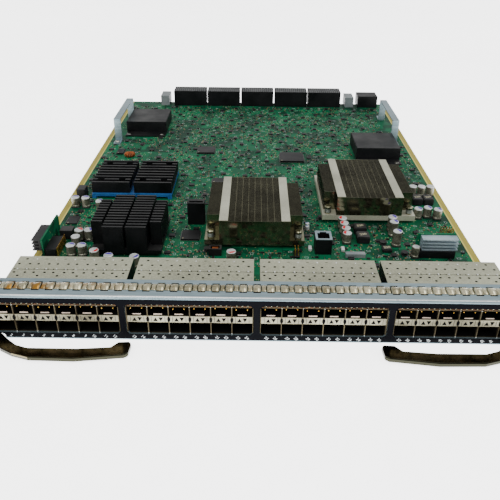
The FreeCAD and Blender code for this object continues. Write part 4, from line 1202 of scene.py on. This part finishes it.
def add_pack_legs():
    """Rows of small legs round the flat packages, and a round mark at their first leg."""
    legs = []
    turns = []
    dots = []
    for low, high in solids("flat_packs"):
        sizes = [high[i] - low[i] for i in range(2)]
        middle = (low + high) / 2
        four_sided = abs(sizes[0] - sizes[1]) < 2.5 * MM
        longer = 0 if sizes[1] <= sizes[0] else 1
        for along in (0, 1):
            if not four_sided and along != longer:
                continue
            count = int((sizes[along] - 1.5 * MM) / LEG_PITCH)
            for i in range(count):
                for edge in (low[1 - along] - 0.3 * MM, high[1 - along] + 0.3 * MM):
                    place = [edge, edge, BOARD_TOP]
                    place[along] = middle[along] + (i - (count - 1) / 2) * LEG_PITCH
                    legs.append(place)
                    turns.append((0, 0, along * math.pi / 2))
        dots.append((low.x + 1.8 * MM, low.y + 1.8 * MM, high.z))
    copies("pack_legs", block(0.35, 1.3, 0.5), legs, "steel_screw", SOLDER, turns=turns)
    copies("pack_dots", flat(disc(0.5, 10)), dots, "dark_ferrite", CREAM_BLOCK)


def on_board(*spots, lift=0.0):
    """Places on the board from (x, y) pairs in millimetres."""
    return [(x * MM, y * MM, BOARD_TOP + lift * MM) for x, y in spots]


def add_lone_parts():
    """Parts that stand alone: jumper pins, small cans, coils, a cap and screw heads."""
    pins = on_board(*[(32.2 + 2.54 * i, 105.5 + 2.54 * j) for i in range(2) for j in range(4)])
    small_cans = ((46.0, 161.5), (45.6, 155.7))
    coils = on_board((110.9, 119.7), (125.0, 113.4), (110.0, 131.0), (-42.0, 116.0),
                     (60.0, 178.0))
    drum = [(2.9, 0), (3.1, 0.3), (3.1, 0.7), (1.9, 0.9), (1.9, 2.0), (3.0, 2.2), (3.0, 2.8),
            (0, 2.85)]
    screws = on_board((-161.0, 402.0), (158.6, 316.8), (-120.0, 402.0), (119.0, 316.8))
    screws += [((low.x + high.x) / 2, low.y + 5.0 * MM, BOARD_TOP + 1.5 * MM)
               for low, high in solids("straps")]
    screw = [(2.7, 0), (2.8, 0.9), (2.2, 1.8), (0.9, 2.0), (0.8, 1.3), (0, 1.3)]
    pad = on_board((0.3, 33.5))
    prints = on_board(*[(math.cos(2.2 * i), 38.0 + 1.1 * i) for i in range(22)])
    edge_can = on_board((132.7, 109.8))
    tall = 10.2
    body = [(3.2, 0.8), (3.45, 1.2), (3.45, 2.2), (3.1, 2.6), (3.45, 3.1), (3.45, tall - 0.4),
            (3.0, tall), (0, tall - 0.1)]
    lid = [(0, tall - 0.11), (3.0, tall - 0.1), (2.9, tall), (0, tall - 0.02)]
    copies("jumper_pins", block(0.64, 0.64, 8.0, 0.12), pins, "gold_pin")
    copies("jumper_base", block(5.0, 10.2, 2.4, 0.3), on_board((33.5, 109.3)), "black_plastic")
    copies("small_cans", turned([(1.9, 0), (2.0, 0.4), (2.0, 3.6), (1.7, 4.0), (0, 3.95)], 16),
           on_board(*small_cans), "can_aluminium")
    copies("small_can_marks", segment(1.6), on_board(*small_cans, lift=3.98), "can_aluminium",
           FINISH["blue_board"], turns=[(0, 0, 2.0)] * 2)
    copies("white_capacitor", block(3.0, 6.0, 2.6, 0.3), on_board((45.6, 119.7), (73.5, 119.0)),
           "can_aluminium")
    copies("drum_coils", turned(drum, 16), coils, "dark_ferrite")
    copies("push_pins", turned([(2.4, 0), (2.6, 0.4), (2.3, 1.5), (1.2, 2.2), (0, 2.4)], 16),
           [mm(-86.0, 113.0, 9.6), mm(-134.0, 113.0, 9.6)], "brass_post")
    copies("board_screws", turned(screw, 18), screws, "steel_screw")
    copies("ground_pad", turned([(1.9, 0), (1.8, FILM), (0, FILM)], 18), pad, "gold_pin")
    # The dark middle of the pad is painted shade in its hole.
    copies("ground_hole", turned([(1.0, FILM), (0.9, 2 * FILM), (0, 2 * FILM)], 14), pad,
           "gold_pin", SHADE_AND_MARK_BLACK)
    copies("gap_prints", flat(rectangle(0.7, 0.3)), prints, "green_board", WHITE_PRINT)
    copies("edge_can", turned(body, 20), edge_can, "can_aluminium", CAN_SLEEVE)
    copies("edge_can_top", turned(lid, 20), edge_can, "can_aluminium")
    copies("edge_can_seat", block(6.9, 6.9, 0.9, 0.3), edge_can, "black_plastic")


def add_winding():
    """The ring choke as loops of copper wire round a dark ring."""
    low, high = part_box("toroid_choke")
    centre = (low + high) / 2
    tall = high.z - low.z
    wire = 0.5 * MM
    loop = tall / 2 - wire
    core = (high.x - low.x) / 2 - tall / 2
    winding = grown("choke_winding", WINDING, {
        "Centre": centre, "Core Radius": core, "Loop Radius": loop, "Wire": wire,
        "Turns": 17, "Material": FINISH["copper_wire"]})
    settle(winding, nodes=("toroid_choke",))
    work = bmesh.new()
    section = disc(loop - wire, 8)
    rows = [[work.verts.new((centre.x + (core + out) * u, centre.y + (core + out) * v,
                             centre.z + up)) for out, up in section]
            for u, v in disc(1.0, 24)]
    for i, ring in enumerate(rows):
        following = rows[(i + 1) % len(rows)]
        for j in range(len(section)):
            k = (j + 1) % len(section)
            work.faces.new((ring[j], following[j], following[k], ring[k]))
    settle_mesh("choke_core", mesh_of("choke_core", work), FINISH["dark_ferrite"])


def add_part_numbers():
    """A generic number on top of each square inductor."""
    turn = Matrix.Rotation(0.25, 4, "Z")
    words = []
    for low, high in solids("inductors"):
        place = Vector(((low.x + high.x) / 2, (low.y + high.y) / 2, high.z + PRINT / 2))
        words.append(("220", Matrix.Translation(place) @ turn))
    printed("inductor_numbers", 4.2, words, CREAM_BLOCK)


# ---- softened parts and rear connectors --------------------------------------------

# How far each part's sharp edges are rounded over, in millimetres.
SOFTENED = {
    "left_lever": 0.5, "right_lever": 0.5, "power_bricks": 0.5, "backplane_connectors": 0.35,
    "guide_sockets": 0.5, "power_connector": 0.35, "inductors": 0.7, "module_blocks": 0.3,
    "tall_transformer": 0.3, "small_transformer": 0.25, "slot_box": 0.3,
    "flat_connector": 0.2, "straps": 0.25}
CONTACT_COLUMNS = 15
CONTACT_ROWS = 6


def add_softened_parts():
    for node, width in SOFTENED.items():
        body = node if node.endswith("lever") else "card"
        softened(node + "_soft", node, SLOT_OF[node], width * MM, body)


def add_rear_details():
    """Contact holes on the mating faces and moulded lines on top of the rear connectors."""
    holes = []
    lines = []
    for low, high in solids("backplane_connectors"):
        for i in range(CONTACT_COLUMNS):
            x = low.x + (i + 1) * (high.x - low.x) / (CONTACT_COLUMNS + 1)
            lines.append((x, (low.y + high.y) / 2, high.z))
            for j in range(CONTACT_ROWS):
                z = low.z + (j + 1) * (high.z - low.z) / (CONTACT_ROWS + 1)
                holes.append((x, high.y - PRINT, z))
    # The contact holes are dark figures of painted shade.
    copies("rear_contacts", flat(rectangle(1.1, 1.3), True, PRINT / 2), holes, "black_plastic",
           SHADE_AND_MARK_BLACK, turns=[(0, 0, math.pi)] * len(holes))
    for vert in bpy.data.objects["backplane_connectors_soft"].data.vertices:
        if vert.co.y > high.y - 0.01 * MM:
            vert.co.y -= PRINT
    front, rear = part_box("backplane_connectors")
    copies("rear_wafers", block(0.3, (rear.y - front.y) / MM - 2.0, FILM), lines,
           "grey_plastic")


KNOB_RIBS = 30


def add_knob_ribs():
    """Fine ribs round each captive knob."""
    for side in ("left", "right"):
        node = side + "_captive_screw"
        low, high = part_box(node)
        middle = (low + high) / 2
        radius = (high.x - low.x) / 2 - 0.25 * MM
        angles = [2 * math.pi * i / KNOB_RIBS for i in range(KNOB_RIBS)]
        places = [(middle.x + radius * math.cos(angle), low.y + 5.0 * MM,
                   middle.z + radius * math.sin(angle)) for angle in angles]
        copies(side + "_knob_ribs", block(0.5, 6.5, 0.3, 0.1, lift=-0.15), places,
               "steel_screw", turns=[(0, -angle, 0) for angle in angles], body=node)


add_gasket()
add_collars()
add_cover_details()
add_band_details()
add_rims()
add_numbers()
for sink_side in ("centre", "right"):
    add_nickel_sink(sink_side)
add_spring_screws()
add_cans()
add_strewn_parts()
add_pack_legs()
add_lone_parts()
add_winding()
add_part_numbers()
add_softened_parts()
add_rear_details()
add_knob_ribs()


# ---- camera, floor and lights ------------------------------------------------------

CAMERA_PLACE = (-3.141, -328.702, 265.01)       # millimetres
CAMERA_YAW = -0.329                             # degrees, like the pitch and the roll
CAMERA_PITCH = 30.17
CAMERA_ROLL = 0.594
FLOOR_HALF = 6.0
FLOOR_GLOW = 4.0


def add_camera():
    data = bpy.data.cameras.new("camera")
    data.sensor_width = 36.0
    data.lens = 43.567
    data.clip_start = 0.02
    data.clip_end = 20.0
    camera = link_object("camera", data)
    yaw, pitch, roll = [math.radians(turn) for turn in (CAMERA_YAW, CAMERA_PITCH, CAMERA_ROLL)]
    ahead = Vector((math.sin(yaw) * math.cos(pitch), math.cos(yaw) * math.cos(pitch),
                    -math.sin(pitch)))
    level = Vector((math.cos(yaw), -math.sin(yaw), 0))
    upward = level.cross(ahead)
    right = math.cos(roll) * level + math.sin(roll) * upward
    top = -math.sin(roll) * level + math.cos(roll) * upward
    turn = Matrix((right, top, -ahead)).transposed().to_4x4()
    camera.matrix_world = Matrix.Translation(Vector(CAMERA_PLACE) * MM) @ turn
    bpy.context.scene.camera = camera


def add_light(name, place, target, size, power, colour):
    data = bpy.data.lights.new(name, "AREA")
    data.shape = "RECTANGLE"
    data.size, data.size_y = size
    data.energy = power
    data.color = colour
    light = link_object(name, data)
    light.location = place
    light.rotation_mode = "QUATERNION"
    light.rotation_quaternion = (Vector(target) - Vector(place)).to_track_quat("-Z", "Y")


def floor_finish():
    """White paper that glows a little, so that it stays pale without flooding the card."""
    material, tree, skin, place = new_material("floor_paper")
    surface = surface_node(tree, place, (0.82, 0.82, 0.82, 1), (0.86, 0.86, 0.86, 1),
                           0.8, 0.9, 2.0, 60.0, 0.0)
    tree.feed(skin, {"Base Color": surface["Color"], "Roughness": surface["Roughness"],
                     "Emission Color": surface["Color"], "Emission Strength": FLOOR_GLOW})
    return material


def add_studio():
    level = CAD_BOX[0].z - 0.1 * MM
    mesh = bpy.data.meshes.new("floor")
    mesh.from_pydata([(x, y, level) for x, y in rectangle(2 * FLOOR_HALF, 2 * FLOOR_HALF)], [],
                     [(0, 1, 2, 3)])
    mesh.materials.append(floor_finish())
    link_object("floor", mesh)
    world = bpy.data.worlds.new("studio")
    world.use_nodes = True
    Tree(world.node_tree).feed(world.node_tree.nodes["Background"].inputs,
                               {"Color": (1.0, 1.0, 1.0, 1.0), "Strength": 1.0})
    bpy.context.scene.world = world
    add_light("key", (-0.5, -0.9, 1.3), (0, 0.15, 0), (0.9, 0.9), 16.0, (1.0, 0.98, 0.95))
    add_light("fill", (0.9, 0.2, 1.1), (0, 0.2, 0), (1.2, 0.8), 9.0, (0.95, 0.98, 1.0))


add_camera()
add_studio()
